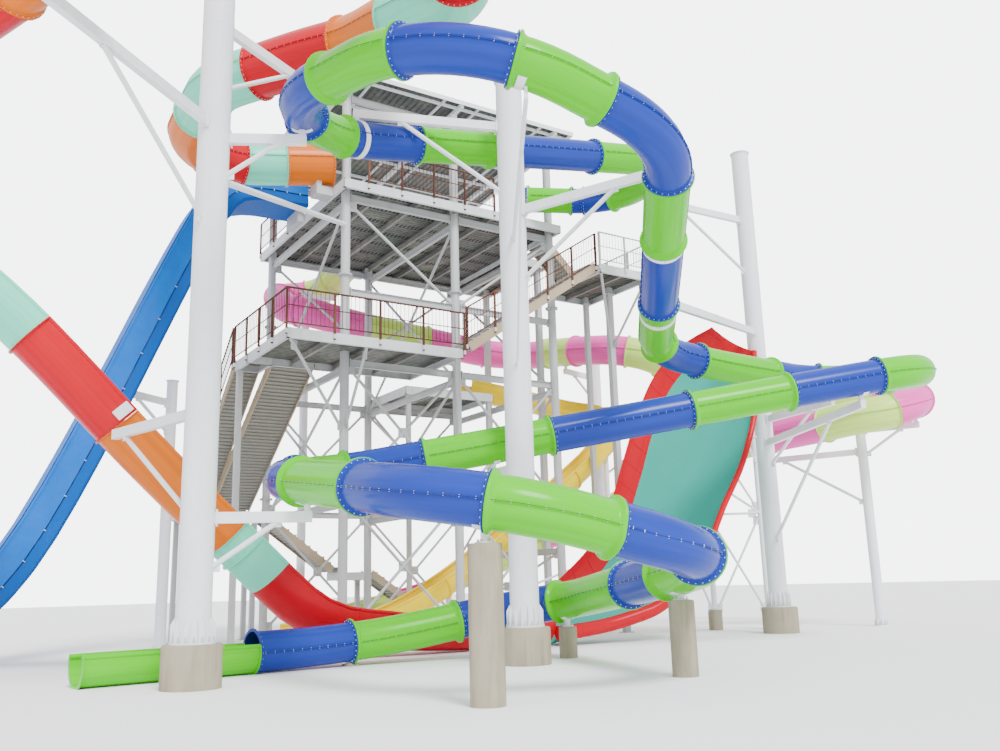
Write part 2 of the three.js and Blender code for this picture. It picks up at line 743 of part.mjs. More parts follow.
// A mast's arm runs level to a spot under the slide, with a knee brace below it. An arm with a
// level of its own passes over the slide, which hangs from it, and one with a root of its own slopes.
function arm(mast, kind, place, ownLevel, ownRoot) {
  const { route, radius } = KINDS[kind];
  const seat = route.spot(place).at;
  const level = ownLevel ?? seat.z - radius - ARM_DEPTH * 1.1;
  const root = point(mast.x, mast.y, ownRoot ?? level);
  const tip = point(seat.x, seat.y, level);
  const reach = root.distanceTo(tip);
  const overrun = tip.clone().sub(root).normalize().multiplyScalar(ARM_WIDTH);
  const [low, high] = [Math.min(level, seat.z), Math.max(level, seat.z)];
  const parts = [
    beam(root, tip.clone().add(overrun), ARM_WIDTH, ARM_DEPTH),
    box([seat.x - SEAT_POST, seat.y - SEAT_POST, low], [seat.x + SEAT_POST, seat.y + SEAT_POST, high]),
  ];
  if (reach > KNEE_FROM && ownRoot === undefined) {
    const knee = root.clone().lerp(tip, KNEE_PLACE);
    parts.push(bar(point(mast.x, mast.y, level - reach * KNEE_DROP), knee, BRACE_RADIUS));
  }
  return cutSeat(joined(parts), kind, place);
}

// A tall round mast on a concrete pedestal.
function addMast(name, mast, arms, extras = []) {
  const foot = mast.foot ?? PEDESTAL_HEIGHT;
  const parts = [
    drum(mast.x, mast.y, foot + SEAT, mast.top, mast.radius, 12),
    drum(mast.x, mast.y, foot + SEAT, foot + 45, mast.radius * 1.45, 12),
    ...arms.map(([kind, place, level, rootLevel]) => arm(mast, kind, place, level, rootLevel)),
    ...extras,
  ];
  addPart(name, joined(parts), 'white');
  if (foot > 0) {
    addPart(`${name}_pedestal`, drum(mast.x, mast.y, 0, foot, PEDESTAL_RADIUS, 12), 'concrete');
  }
}

const COLUMN_SIDES = 10;
const COLUMN_FOOT = { half: 210, thick: 30 };
const HIGHER_THAN_ALL = 20000;
function column(x, y, low, high) {
  const { half, thick } = COLUMN_FOOT;
  return [
    drum(x, y, low, high, COLUMN_RADIUS, COLUMN_SIDES),
    box([x - half, y - half, low], [x + half, y + half, low + thick]),
  ];
}

function clearOfColumns(solid, places) {
  const hole = ([x, y]) => drum(x, y, -10, HIGHER_THAN_ALL, COLUMN_RADIUS + SEAT, COLUMN_SIDES);
  return places.reduce((rest, place) => rest.subtract(hole(place)), solid);
}

const TIE_RADIUS = 70;
const towerCorner = [COLUMN_X[0], FRONT_ROW];
const tieToTower = (fromHeight, toHeight) => clearOfColumns(
  bar(point(MASTS.a.x, MASTS.a.y, fromHeight), point(...towerCorner, toHeight), TIE_RADIUS),
  [towerCorner],
);
addMast('mast_a', MASTS.a, [
  ['coil', 3.1], ['coil', 9.35], ['raft', 2.7], ['raft', 5.45], ['trough', 11.6],
], [tieToTower(9500, 12100)]);
addMast('mast_b', MASTS.b, [
  ['coil', 2.5], ['coil', 2.85, 12000], ['coil', 4.3], ['coil', 5.4, 9900], ['coil', 8.72],
]);
// The right mast also steadies the climbing wall with two struts to its back.
const wallStruts = [0.9, 0.76].map((share) => {
  const seat = wallPlace(share, 0.3, WALL_THICKNESS / 2);
  const root = point(MASTS.c.x, MASTS.c.y, seat.z - 250);
  return bar(root, seat, 60).subtract(shellRoom).subtract(rimRun(SEAT));
});
addMast('mast_c', MASTS.c, [
  ['coil', 1.6], ['coil', 5.75, 8000, 9200], ['coil', 7.0], ['coil', 8.15],
], wallStruts);
addMast('mast_d', MASTS.d, [['striped', 7.3], ['striped', 8.7]]);
addMast('mast_e', MASTS.e, [['chute', 2.5]]);
addMast('mast_f', MASTS.f, [['raft', 6.5], ['raft', 7.5], ['raft', 8.5]]);
addMast('mast_g', MASTS.g, [['striped', 0.6], ['striped', 1.6], ['striped', 3.2]]);
addMast('mast_h', MASTS.h, [['striped', 4.5], ['striped', 5.6], ['striped', 9.6]]);

// Posts that stand right under a slide.
function addPost(name, kind, place, radius, material, sides = 10) {
  const { route } = KINDS[kind];
  const seat = route.spot(place).at;
  addPart(name, cutSeat(drum(seat.x, seat.y, 0, seat.z, radius, sides), kind, place), material);
}
addPost('pier_left', 'coil', 10.06, 250, 'concrete', 12);
addPost('pier_right', 'coil', 11.23, 225, 'concrete', 12);
addPost('low_footing_right', 'coil', 11.9, 200, 'concrete', 8);
addPost('low_footing_left', 'coil', 13, 200, 'concrete', 8);

// The flume's trestle: two posts under it, tied near the ground and by one rising brace.
const TRESTLE_PLACES = [2.6, 4.3];
const TRESTLE = { post: 90, plate: 180, plateTop: 25, bar: 45, tie: 500, braceFrom: 2600, braceTo: 600 };
const trestleHeads = TRESTLE_PLACES.map((place) => flume.spot(place).at);
const trestleBar = (firstHeight, secondHeight) => bar(
  point(trestleHeads[0].x, trestleHeads[0].y, firstHeight),
  point(trestleHeads[1].x, trestleHeads[1].y, secondHeight),
  TRESTLE.bar,
  4,
);
const trestle = TRESTLE_PLACES.reduce((solid, place) => cutSeat(solid, 'flume', place), joined([
  ...trestleHeads.flatMap((head) => [
    drum(head.x, head.y, 0, head.z, TRESTLE.post, 8),
    drum(head.x, head.y, 0, TRESTLE.plateTop, TRESTLE.plate, 8),
  ]),
  trestleBar(TRESTLE.tie, TRESTLE.tie),
  trestleBar(TRESTLE.braceFrom, TRESTLE.braceTo),
]));
addPart('flume_trestle', trestle, 'white');

// The tower's two long frames: columns, beams and crossed braces in one plane, fused.
const BEAM_DEPTH = 200;
const BEAM_WIDTH = 120;
const BRACE = 50;
const underDeck = (deckTop) => deckTop - DECK_DEPTH - SEAT;
const TOP_OF_BEAMS = [4200, underDeck(LOWER_DECK_Z), 10150, underDeck(UPPER_DECK_Z), FRAME_TOP];
const LEVELS = TOP_OF_BEAMS.map((top) => top - BEAM_DEPTH / 2);

function crossed(a, b, low, high) {
  return [
    bar(point(a[0], a[1], low), point(b[0], b[1], high), BRACE, 4),
    bar(point(a[0], a[1], high), point(b[0], b[1], low), BRACE, 4),
  ];
}

function longFrame(row, tiers, top) {
  const parts = COLUMN_X.flatMap((x) => column(x, row, 0, top));
  const [left, middle, right] = COLUMN_X.map((x) => [x, row]);
  [...LEVELS.slice(0, -1), top - BEAM_DEPTH / 2].forEach((level) => {
    parts.push(beam(point(...left, level), point(...right, level), BEAM_WIDTH, BEAM_DEPTH));
  });
  tiers.forEach(([low, high, kind]) => {
    if (kind === 'cross') {
      parts.push(...crossed(left, middle, low, high), ...crossed(middle, right, low, high));
    } else {
      parts.push(bar(point(...left, high), point(...middle, low), BRACE, 4));
      parts.push(bar(point(...middle, low), point(...right, high), BRACE, 4));
    }
  });
  return joined(parts);
}

const TIERS = [
  [300, LEVELS[0], 'cross'],
  [LEVELS[0], LEVELS[1], 'cross'],
  [LEVELS[2], LEVELS[3] - 100, 'single'],
];
const BACK_TOP = 15900;
addPart('front_frame', longFrame(FRONT_ROW, TIERS, FRAME_TOP), 'galvanised');
addPart('back_frame', longFrame(BACK_ROW, TIERS, BACK_TOP), 'galvanised');

// The short sides: beams and braces between the two frames, bolted to the columns.
const ALL_COLUMNS = COLUMN_X.flatMap((x) => [[x, FRONT_ROW], [x, BACK_ROW]]);
const SIDE_LEVELS = [0, 1, 3].map((level) => LEVELS[level] - BEAM_DEPTH - SEAT);
function sideBracing(x, levels, bars) {
  const [front, back] = [[x, FRONT_ROW], [x, BACK_ROW]];
  const levelBeam = (level) => beam(point(...front, level), point(...back, level), BEAM_WIDTH, BEAM_DEPTH);
  const parts = levels.map(levelBeam);
  bars.forEach(([atFront, atBack]) => {
    parts.push(bar(point(...front, atFront), point(...back, atBack), BRACE, 4));
  });
  return clearOfColumns(joined(parts), ALL_COLUMNS);
}
const crossBars = (low, high) => [[low, high], [high, low]];
const [LOW_BEAM, MIDDLE_BEAM, HIGH_BEAM] = SIDE_LEVELS;
const upperBars = [...crossBars(LOW_BEAM, MIDDLE_BEAM), ...crossBars(MIDDLE_BEAM, HIGH_BEAM)];
addPart('left_bracing', sideBracing(COLUMN_X[0], SIDE_LEVELS, [
  ...crossBars(LOW_BEAM, MIDDLE_BEAM), [HIGH_BEAM, MIDDLE_BEAM],
]), 'galvanised');
addPart('middle_bracing', sideBracing(COLUMN_X[1], SIDE_LEVELS, upperBars), 'galvanised');
// On the right the flume passes through, so its lowest beam is lower and one brace is left out.
const FLUME_BEAM = 2600;
addPart('right_bracing', sideBracing(COLUMN_X[2], [FLUME_BEAM, MIDDLE_BEAM, HIGH_BEAM], [
  ...crossBars(500, FLUME_BEAM), [MIDDLE_BEAM, FLUME_BEAM], [MIDDLE_BEAM, HIGH_BEAM],
]), 'galvanised');

// A deck: a plate with a deep edge beam all round and joists below, cut round the columns.
const EDGE = 90;
const JOIST_GAP = 1250;
const JOIST_RISE = 60;
function deckParts(low, high, top) {
  const parts = [box([low[0], low[1], top - DECK_PLATE], [high[0], high[1], top])];
  const under = top - DECK_DEPTH;
  parts.push(box([low[0], low[1], under], [high[0], low[1] + EDGE, top]));
  parts.push(box([low[0], high[1] - EDGE, under], [high[0], high[1], top]));
  parts.push(box([low[0], low[1], under], [low[0] + EDGE, high[1], top]));
  parts.push(box([high[0] - EDGE, low[1], under], [high[0], high[1], top]));
  const joists = Math.max(1, Math.round((high[0] - low[0]) / JOIST_GAP));
  for (let index = 1; index < joists; index += 1) {
    const x = low[0] + ((high[0] - low[0]) * index) / joists;
    parts.push(box([x - EDGE / 2, low[1], under + JOIST_RISE], [x + EDGE / 2, high[1], top]));
  }
  return parts;
}

// A post under a deck, with its base plate.
function post(x, y, top, width = 160) {
  const half = width / 2;
  return joined([
    box([x - half, y - half, 0], [x + half, y + half, top]),
    box([x - half * 1.8, y - half * 1.8, 0], [x + half * 1.8, y + half * 1.8, 25]),
  ]);
}

const LOWER_DECK = { low: [-3100, 6000], high: [2200, 9300] };
const DECK_WING = { low: [-3100, 9200], high: [-2350, 10400] };
const lowerStruts = [-3000, -800, 2000].map((x) => bar(
  point(x, LOWER_DECK.low[1] + 80, LOWER_DECK_Z - DECK_DEPTH + 40),
  point(x < 0 ? COLUMN_X[0] : COLUMN_X[1], FRONT_ROW, LOWER_DECK_Z - 2400),
  BRACE, 6,
));
const lowerDeck = joined([
  ...deckParts(LOWER_DECK.low, LOWER_DECK.high, LOWER_DECK_Z),
  ...deckParts(DECK_WING.low, DECK_WING.high, LOWER_DECK_Z),
  ...lowerStruts,
  post(DECK_WING.low[0] + 120, DECK_WING.high[1] - 120, LOWER_DECK_Z - DECK_PLATE),
]);
addPart('lower_deck', clearOfColumns(lowerDeck, ALL_COLUMNS), 'deck');

const UPPER_DECK = { low: [-1080, 7100], high: [6750, 14500] };
const UPPER_WING = { low: [6660, 10300], high: [8500, 14500] };
const upperDeck = joined([
  ...deckParts(UPPER_DECK.low, UPPER_DECK.high, UPPER_DECK_Z),
  ...deckParts(UPPER_WING.low, UPPER_WING.high, UPPER_DECK_Z),
  post(8200, 10600, UPPER_DECK_Z - DECK_PLATE, 200),
  post(8200, 14200, UPPER_DECK_Z - DECK_PLATE, 200),
]);
// Cradles at the deck's edge, cut to the first length of each slide. The raft slide and the
// striped slide start further out, so their cradles stand on a bracket.
const CRADLE_UNDER = UPPER_DECK_Z - DECK_DEPTH;
const CRADLE_SUNK = UPPER_DECK_Z - 10;
const CRADLE_BRACKET_TOP = UPPER_DECK_Z - 20;
const CRADLE_TOPS = { coil: 14000, raft: 13950, chute: 13700, striped: 13900 };
const CHUTE_CRADLE = { lowX: -1300, highX: -1000, lowY: 10250, highY: 11250 };
const COIL_CRADLE = { lowX: 5080, highX: 5280, lowY: 7120, highY: 7320 };
const RAFT_CRADLE = { lowX: -1600, highX: -1450, lowY: 7900, highY: 8400 };
const STRIPED_CRADLE = { lowX: 2300, highX: 2900, lowY: 14600, highY: 14720 };
const RAFT_BRACKET = { ...RAFT_CRADLE, highX: -990 };
const STRIPED_BRACKET = { ...STRIPED_CRADLE, lowY: 14420 };
const cradleBox = (plan, low, high) => box([plan.lowX, plan.lowY, low], [plan.highX, plan.highY, high]);
const cradles = [
  ['coil', 0.15, cradleBox(COIL_CRADLE, CRADLE_SUNK, CRADLE_TOPS.coil)],
  ['raft', 0.1, joined([
    cradleBox(RAFT_CRADLE, CRADLE_UNDER, CRADLE_TOPS.raft),
    cradleBox(RAFT_BRACKET, CRADLE_UNDER, CRADLE_BRACKET_TOP),
  ])],
  ['chute', 0.1, cradleBox(CHUTE_CRADLE, CRADLE_UNDER, CRADLE_TOPS.chute)],
  ['striped', 0.1, joined([
    cradleBox(STRIPED_CRADLE, CRADLE_UNDER, CRADLE_TOPS.striped),
    cradleBox(STRIPED_BRACKET, CRADLE_UNDER, CRADLE_BRACKET_TOP),
  ])],
].map(([kind, place, block]) => cutSeat(block, kind, place));
addPart('upper_deck', clearOfColumns(joined([upperDeck, ...cradles]), ALL_COLUMNS), 'deck');

// The flume's small start deck, at the lower deck's level in the right bay.
const FLUME_DECK = { low: [3000, 11200], high: [6500, 14050] };
const flumeDeck = joined([
  ...deckParts(FLUME_DECK.low, FLUME_DECK.high, LOWER_DECK_Z),
  post(3140, 11300, LOWER_DECK_Z - DECK_PLATE, 140), post(6350, 11300, LOWER_DECK_Z - DECK_PLATE, 140),
  cutSeat(box([6380, 12650, LOWER_DECK_Z - 10], [6480, 13150, 8900]), 'flume', 0.1),
]);
addPart('flume_deck', clearOfColumns(flumeDeck, ALL_COLUMNS), 'deck');

const LANDING = { low: [7300, 5800], high: [9400, 9100] };
const landing = joined([
  ...deckParts(LANDING.low, LANDING.high, LANDING_Z),
  post(9100, 7600, LANDING_Z - DECK_PLATE, 200),
  post(9100, 8900, LANDING_Z - DECK_PLATE, 160),
  bar(point(7400, 5900, LANDING_Z - DECK_DEPTH + 40), point(9100, 7600, LANDING_Z - 2300), BRACE, 6),
  bar(point(9300, 5900, LANDING_Z - DECK_DEPTH + 40), point(9100, 7600, LANDING_Z - 2300), BRACE, 6),
]);
addPart('stair_landing', landing, 'deck');

// A straight flight: closed folded steps over a deep stringer, as one stepped slab.
const STRINGER_DEPTH = 240;
const RISER = 190;
function flight(foot, head, width) {
  const run = head.clone().sub(foot);
  const along = point(run.x, run.y, 0);
  const span = along.length();
  along.normalize();
  const risers = Math.round(run.z / RISER);
  const going = span / risers;
  const rise = run.z / risers;
  const outline = [new THREE.Vector2(0, 0)];
  for (let step = 1; step <= risers; step += 1) {
    outline.push(new THREE.Vector2(going * (step - 1), rise * step));
    outline.push(new THREE.Vector2(going * step, rise * step));
  }
  outline.push(new THREE.Vector2(span, run.z - STRINGER_DEPTH), new THREE.Vector2(going, 0));
  const geometry = new THREE.ExtrudeGeometry(new THREE.Shape(outline), { depth: width, bevelEnabled: false });
  geometry.translate(0, 0, -width / 2);
  const up = point(0, 0, 1);
  geometry.applyMatrix4(new THREE.Matrix4().makeBasis(along, up, along.clone().cross(up)));
  geometry.translate(foot.x, foot.y, foot.z);
  return toSolid(geometry);
}

const FLIGHT_WIDTH = 1050;
const FRONT_FLIGHT_Y = 6530;
const TOP_FLIGHT = { width: 900, y: 8600, startsAt: 1200 };
addPart('right_stair', flight(
  point(LOWER_DECK.high[0] + SEAT, FRONT_FLIGHT_Y, LOWER_DECK_Z),
  point(LANDING.low[0] - SEAT, FRONT_FLIGHT_Y, LANDING_Z),
  FLIGHT_WIDTH,
), 'galvanised');
addPart('upper_stair', flight(
  point(LANDING.low[0] + TOP_FLIGHT.startsAt, TOP_FLIGHT.y, LANDING_Z + SEAT),
  point(UPPER_DECK.high[0] + SEAT, TOP_FLIGHT.y, UPPER_DECK_Z),
  TOP_FLIGHT.width,
), 'galvanised');
const MID_Z = 4300;
const MID_LANDING = { low: [-3250, 15300], high: [-500, 16500] };
const LEFT_FLIGHT_WIDTH = 1320;
const LEFT_FLIGHT_X = DECK_WING.high[0] + SEAT + LEFT_FLIGHT_WIDTH / 2;
const LEFT_FLIGHT_FOOT = MID_LANDING.low[1] - SEAT;
const SIDE_FLIGHT_WIDTH = LEFT_FLIGHT_X - LEFT_FLIGHT_WIDTH / 2 - LOWER_DECK.low[0] + 2;
const SIDE_FLIGHT_X = LOWER_DECK.low[0] + SIDE_FLIGHT_WIDTH / 2;
addPart('left_upper_stair', joined([
  flight(
    point(LEFT_FLIGHT_X, LEFT_FLIGHT_FOOT, MID_Z),
    point(LEFT_FLIGHT_X, LOWER_DECK.high[1] + SEAT, LOWER_DECK_Z),
    LEFT_FLIGHT_WIDTH,
  ),
  flight(
    point(SIDE_FLIGHT_X, LEFT_FLIGHT_FOOT, MID_Z),
    point(SIDE_FLIGHT_X, DECK_WING.high[1] + SEAT, LOWER_DECK_Z),
    SIDE_FLIGHT_WIDTH,
  ),
]), 'galvanised');
const REST_Z = 2200;
const REST = { low: [2400, 15350], high: [3700, 16450] };
const LOW_FLIGHT_Y = 15900;
const LOW_FLIGHT_WIDTH = 1000;
const LOW_FLIGHT_FOOT = 7000;
const LOW_FLIGHT_LAP = 5;
const lowFlight = (fromX, fromZ, toX, toZ) => flight(
  point(fromX, LOW_FLIGHT_Y, fromZ), point(toX, LOW_FLIGHT_Y, toZ), LOW_FLIGHT_WIDTH,
);
addPart('left_lower_stair', joined([
  lowFlight(REST.low[0] + LOW_FLIGHT_LAP, REST_Z, MID_LANDING.high[0] + SEAT, MID_Z),
  lowFlight(LOW_FLIGHT_FOOT, 0, REST.high[0] - LOW_FLIGHT_LAP, REST_Z),
  ...deckParts(REST.low, REST.high, REST_Z),
  post(2550, 15500, REST_Z - DECK_PLATE), post(3550, 16300, REST_Z - DECK_PLATE),
]), 'galvanised');
addPart('left_landing', joined([
  ...deckParts(MID_LANDING.low, MID_LANDING.high, MID_Z),
  post(-3100, 16350, MID_Z - DECK_PLATE), post(-700, 16350, MID_Z - DECK_PLATE),
  post(-3100, 15450, MID_Z - DECK_PLATE), post(-700, 15450, MID_Z - DECK_PLATE),
]), 'deck');

// Railings: posts bolted outside the edge beam, a handrail, a middle rail and a low rail.
const RAIL_RADIUS = 26;
const POST_DROP = 200;
const RAIL_LEVELS = [RAIL_HEIGHT, RAIL_HEIGHT * 0.55, 140];
function railing(path, spacing = 1250) {
  const parts = [];
  for (let index = 0; index < path.length - 1; index += 1) {
    const [start, end] = [path[index], path[index + 1]];
    const count = Math.max(1, Math.round(start.distanceTo(end) / spacing));
    for (let step = index === 0 ? 0 : 1; step <= count; step += 1) {
      const at = start.clone().lerp(end, step / count);
      const half = RAIL_POST / 2;
      const low = [at.x - half, at.y - half, at.z - POST_DROP];
      parts.push(box(low, [at.x + half, at.y + half, at.z + RAIL_HEIGHT]));
    }
    RAIL_LEVELS.forEach((level) => {
      const lift = point(0, 0, level - RAIL_RADIUS);
      parts.push(bar(start.clone().add(lift), end.clone().add(lift), RAIL_RADIUS, 4));
    });
  }
  return joined(parts);
}
const OUT = RAIL_POST / 2 + SEAT;
const stairSide = FRONT_FLIGHT_Y - FLIGHT_WIDTH / 2 - OUT;
addPart('lower_rail', railing([
  point(LOWER_DECK.low[0] - OUT, DECK_WING.high[1] - 40, LOWER_DECK_Z),
  point(LOWER_DECK.low[0] - OUT, LOWER_DECK.low[1] - OUT, LOWER_DECK_Z),
  point(LOWER_DECK.high[0] + OUT, LOWER_DECK.low[1] - OUT, LOWER_DECK_Z),
]), 'rust');
addPart('stair_rail', railing([
  point(LOWER_DECK.high[0] + OUT * 4, stairSide, LOWER_DECK_Z + RISER),
  point(LANDING.low[0] - OUT, stairSide, LANDING_Z),
]), 'rust');
addPart('landing_rail', railing([
  point(LANDING.low[0] - OUT, LANDING.low[1] - OUT, LANDING_Z),
  point(LANDING.high[0] + OUT, LANDING.low[1] - OUT, LANDING_Z),
  point(LANDING.high[0] + OUT, LANDING.high[1] + OUT, LANDING_Z),
]), 'galvanised');
addPart('upper_front_rail', railing([
  point(-300, UPPER_DECK.low[1] - OUT, UPPER_DECK_Z), point(4100, UPPER_DECK.low[1] - OUT, UPPER_DECK_Z),
]), 'rust');
addPart('upper_left_rail', railing([
  point(UPPER_DECK.low[0] - OUT, 11700, UPPER_DECK_Z), point(UPPER_DECK.low[0] - OUT, 14400, UPPER_DECK_Z),
]), 'rust');
addPart('left_stair_rail', railing([
  point(LOWER_DECK.low[0] - OUT, MID_LANDING.low[1] - 100, MID_Z + RISER),
  point(LOWER_DECK.low[0] - OUT, DECK_WING.high[1] + 150, LOWER_DECK_Z),
], 1400), 'rust');

// The roof: a sheet that falls to the back on rafters and purlins, on the heads of the two frames.
const ROOF = { low: [-1300, 6900], high: [7300, 14700], front: 16750, back: 16330, sheet: 60 };
function roofSlab(lowX, highX, lowY, highY, lift, depth) {
  const fall = (ROOF.back - ROOF.front) / (ROOF.high[1] - ROOF.low[1]);
  const corner = (y, rise) => new THREE.Vector2(y, ROOF.front + fall * (y - ROOF.low[1]) + lift + rise);
  const corners = [corner(lowY, 0), corner(highY, 0), corner(highY, depth), corner(lowY, depth)];
  const shape = new THREE.Shape(corners);
  const geometry = new THREE.ExtrudeGeometry(shape, { depth: highX - lowX, bevelEnabled: false });
  geometry.applyMatrix4(new THREE.Matrix4().makeBasis(point(0, 1, 0), point(0, 0, 1), point(1, 0, 0)));
  geometry.translate(lowX, 0, 0);
  return toSolid(geometry);
}
const rafters = COLUMN_X.map((x) => roofSlab(x - 60, x + 60, ROOF.low[1] + 60, ROOF.high[1] - 60, -160, 170));
const purlins = [0, 1, 2, 3, 4, 5].map((index) => {
  const y = ROOF.low[1] + 300 + index * 1420;
  return roofSlab(ROOF.low[0] + 60, ROOF.high[0] - 60, y, y + 70, -90, 100);
});
const capital = (x, y, base) => box([x - 110, y - 110, base + SEAT], [x + 110, y + 110, base + 340]);
addPart('roof', joined([
  roofSlab(ROOF.low[0], ROOF.high[0], ROOF.low[1], ROOF.high[1], 0, ROOF.sheet),
  ...rafters, ...purlins,
  ...COLUMN_X.flatMap((x) => [capital(x, FRONT_ROW, FRAME_TOP), capital(x, BACK_ROW, BACK_TOP)]),
]), 'white');

export default object;
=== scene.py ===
# Dresses the water slide tower: flanged coloured slide lengths, round masts with fins and
# bolts, the steel tower with its decks, stairs and rails, and the finishes of each of them.
# Metres, +Z up, the same frame as the solids.
import math

import bpy
import numpy as np
from mathutils import Matrix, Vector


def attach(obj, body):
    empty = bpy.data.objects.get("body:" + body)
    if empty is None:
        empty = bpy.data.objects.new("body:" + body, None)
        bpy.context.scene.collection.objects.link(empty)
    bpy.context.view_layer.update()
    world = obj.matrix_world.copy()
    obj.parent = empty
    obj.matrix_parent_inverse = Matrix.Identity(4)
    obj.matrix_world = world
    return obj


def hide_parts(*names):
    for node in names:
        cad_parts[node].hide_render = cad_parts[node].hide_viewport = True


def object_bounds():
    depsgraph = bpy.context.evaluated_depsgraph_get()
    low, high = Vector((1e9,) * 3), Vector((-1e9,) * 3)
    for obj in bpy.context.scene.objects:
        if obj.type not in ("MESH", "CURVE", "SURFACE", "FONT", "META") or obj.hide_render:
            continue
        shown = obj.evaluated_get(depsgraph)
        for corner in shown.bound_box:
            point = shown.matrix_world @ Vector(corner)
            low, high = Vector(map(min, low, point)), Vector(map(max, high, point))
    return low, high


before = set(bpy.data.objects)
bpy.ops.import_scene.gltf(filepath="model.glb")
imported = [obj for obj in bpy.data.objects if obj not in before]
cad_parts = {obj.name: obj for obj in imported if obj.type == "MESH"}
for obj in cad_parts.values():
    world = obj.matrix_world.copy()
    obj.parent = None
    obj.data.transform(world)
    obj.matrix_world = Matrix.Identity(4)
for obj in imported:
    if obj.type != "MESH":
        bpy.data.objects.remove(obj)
cad_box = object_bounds()

# Measures of the tower, the slides and the masts.
COLUMN_X = (-0.8, 2.9, 6.6)
FRONT_ROW = 7.6
BACK_ROW = 14.0
COLUMN_RADIUS = 0.135
LOWER_DECK_Z = 8.3
UPPER_DECK_Z = 13.35
LANDING_Z = 11.7
MID_Z = 4.3
REST_Z = 2.2
DECK_DEPTH = 0.28
DECK_PLATE = 0.06
FRAME_TOP = 16.3
BACK_TOP = 15.9
RAIL_HEIGHT = 1.1
COIL_RADIUS = 0.41
RAFT_RADIUS = 0.625
TROUGH_RADIUS = 0.7
STRIPED_RADIUS = 0.56
FLUME_RADIUS = 0.52
CHUTE_HALF = (0.825, 0.5)
SHELL = 0.022
MAST_RADIUS = 0.305
PEDESTAL_HEIGHT = 0.75
PEDESTAL_RADIUS = 0.52

COIL_MARKS = [
    (4.65, 7.6, 14.05, 0), (7.8, 5.5, 13.8, 2.15), (7, 1.6, 13.35, 1.7), (-5.9, 1.1, 11.05, 2.75),
    (-4.9, -5.45, 10.1, 2.95), (-0.6, -5.85, 9.1, 2.05), (4.5, 0.45, 7.3, 2), (11.05, 0.5, 7, 1.7),
    (11.3, -4.15, 6.65, 1.65), (-4.85, 3.5, 3.95, 1.8), (-4.9, -5.5, 2.85, 2.3), (-0.15, -6.25, 2, 2.1),
    (2.15, 1.9, 1.15, 2), (-2.65, 2.9, 0.5, 6), (-8.25, 2.25, 0.411, 0),
]
RAFT_MARKS = [
    (-1.08, 8, 14.1, 0), (-5.4, 9.1, 13.75, 1.9), (-5.6, 4.45, 13.7, 2), (-3.45, 0.95, 13.6, 3),
    (-2.95, -4.2, 12.55, 1.9), (-8.65, -4.95, 11.9, 2.2), (-11.7, 0.65, 10.9, 2.4),
    (-17.2, 0.8, 10.8, 1.85), (-17.2, 4.6, 10.5, 1.85), (-14.1, 4.6, 10.25, 0), (-13.1, 4.6, 10, 0),
    (-9.8, 4.6, 7.8, 0), (-6.3, 4.6, 4.4, 0), (-4.4, 4.6, 2.65, 0), (-2.75, 4.6, 1.25, 0),
    (-1.2, 4.62, 0.9, 0), (0.7, 4.65, 0.74, 0), (3.7, 4.7, 0.701, 0),
]
CHUTE_MARKS = [
    (-1.08, 10.75, 14, 0), (-3.3, 10.75, 13.75, 0), (-4.1, 10.75, 12.7, 0), (-8.1, 10.75, 3.3, 0),
    (-9.9, 10.75, 1.05, 0), (-12.5, 10.75, 0.575, 0), (-16.5, 10.75, 0.512, 0),
]
STRIPED_MARKS = [
    (2.6, 14.52, 13.95, 0), (2.6, 18.2, 13.35, 0.95), (0.65, 18.2, 12.95, 0.95),
    (0.65, 15.7, 11.9, 0.95), (10, 15.5, 10.9, 2.2), (10.9, 8.7, 9.9, 1.7), (17.35, 8.3, 7.9, 2),
    (17.65, 1.3, 7.3, 1.5), (14.6, 1.3, 6.65, 1.5), (14.5, 8.5, 6.2, 0), (14.3, 15.6, 4.3, 2.5),
    (8.6, 17.6, 2, 2.5), (2.6, 17.6, 0.561, 0),
]
FLUME_MARKS = [
    (6.35, 12.9, 8.92, 0), (11.7, 12.9, 8.35, 1.6), (11.7, 9.6, 7.65, 1.6), (9.5, 9.6, 6, 0),
    (4.6, 9.6, 2.5, 0), (1.4, 9.6, 0.85, 0), (-1.6, 9.6, 0.521, 0),
]
MASTS = {
    "a": (-6.65, 0.55, 15.2, MAST_RADIUS, PEDESTAL_HEIGHT),
    "b": (0.0, 0.0, 13.2, MAST_RADIUS, PEDESTAL_HEIGHT),
    "c": (11.2, 3.05, 15.3, MAST_RADIUS * 0.9, PEDESTAL_HEIGHT),
    "d": (15.85, 3.0, 6.95, 0.16, 0.0),
    "e": (-4.5, 11.95, 7.9, 0.16, 0.0),
    "f": (-13.6, 0.7, 10.21, 0.22, 0.0),
    "g": (1.6, 17.0, 13.05, 0.16, 0.0),
    "h": (12.3, 12.6, 10.6, 0.25, 0.0),
}


# Finishes.
STREAK_STRETCH = (3.0, 3.0, 0.35)
GRIME_FROM = 0.22
GRIME_FULL = 0.42
RIPPLE_ACROSS = 9.0
RIPPLE_ALONG = 0.35
SHINE = 0.13


def add_node(tree, kind, inputs=None, **settings):
    """A shader node; each given input is a value or the output of another node."""
    node = tree.nodes.new(kind)
    for name, value in settings.items():
        setattr(node, name, value)
    for name, value in (inputs or {}).items():
        if isinstance(value, bpy.types.NodeSocket):
            tree.links.new(value, node.inputs[name])
        else:
            node.inputs[name].default_value = value
    return node


def new_group(name, inputs, output):
    """An empty shader group with number sockets: its tree, what goes in and where the result goes."""
    tree = bpy.data.node_groups.new(name, "ShaderNodeTree")
    for label, value in inputs.items():
        socket = tree.interface.new_socket(label, in_out="INPUT", socket_type="NodeSocketFloat")
        socket.default_value = value
    tree.interface.new_socket(output, in_out="OUTPUT", socket_type="NodeSocketFloat")
    return tree, tree.nodes.new("NodeGroupInput").outputs, tree.nodes.new("NodeGroupOutput").inputs[output]


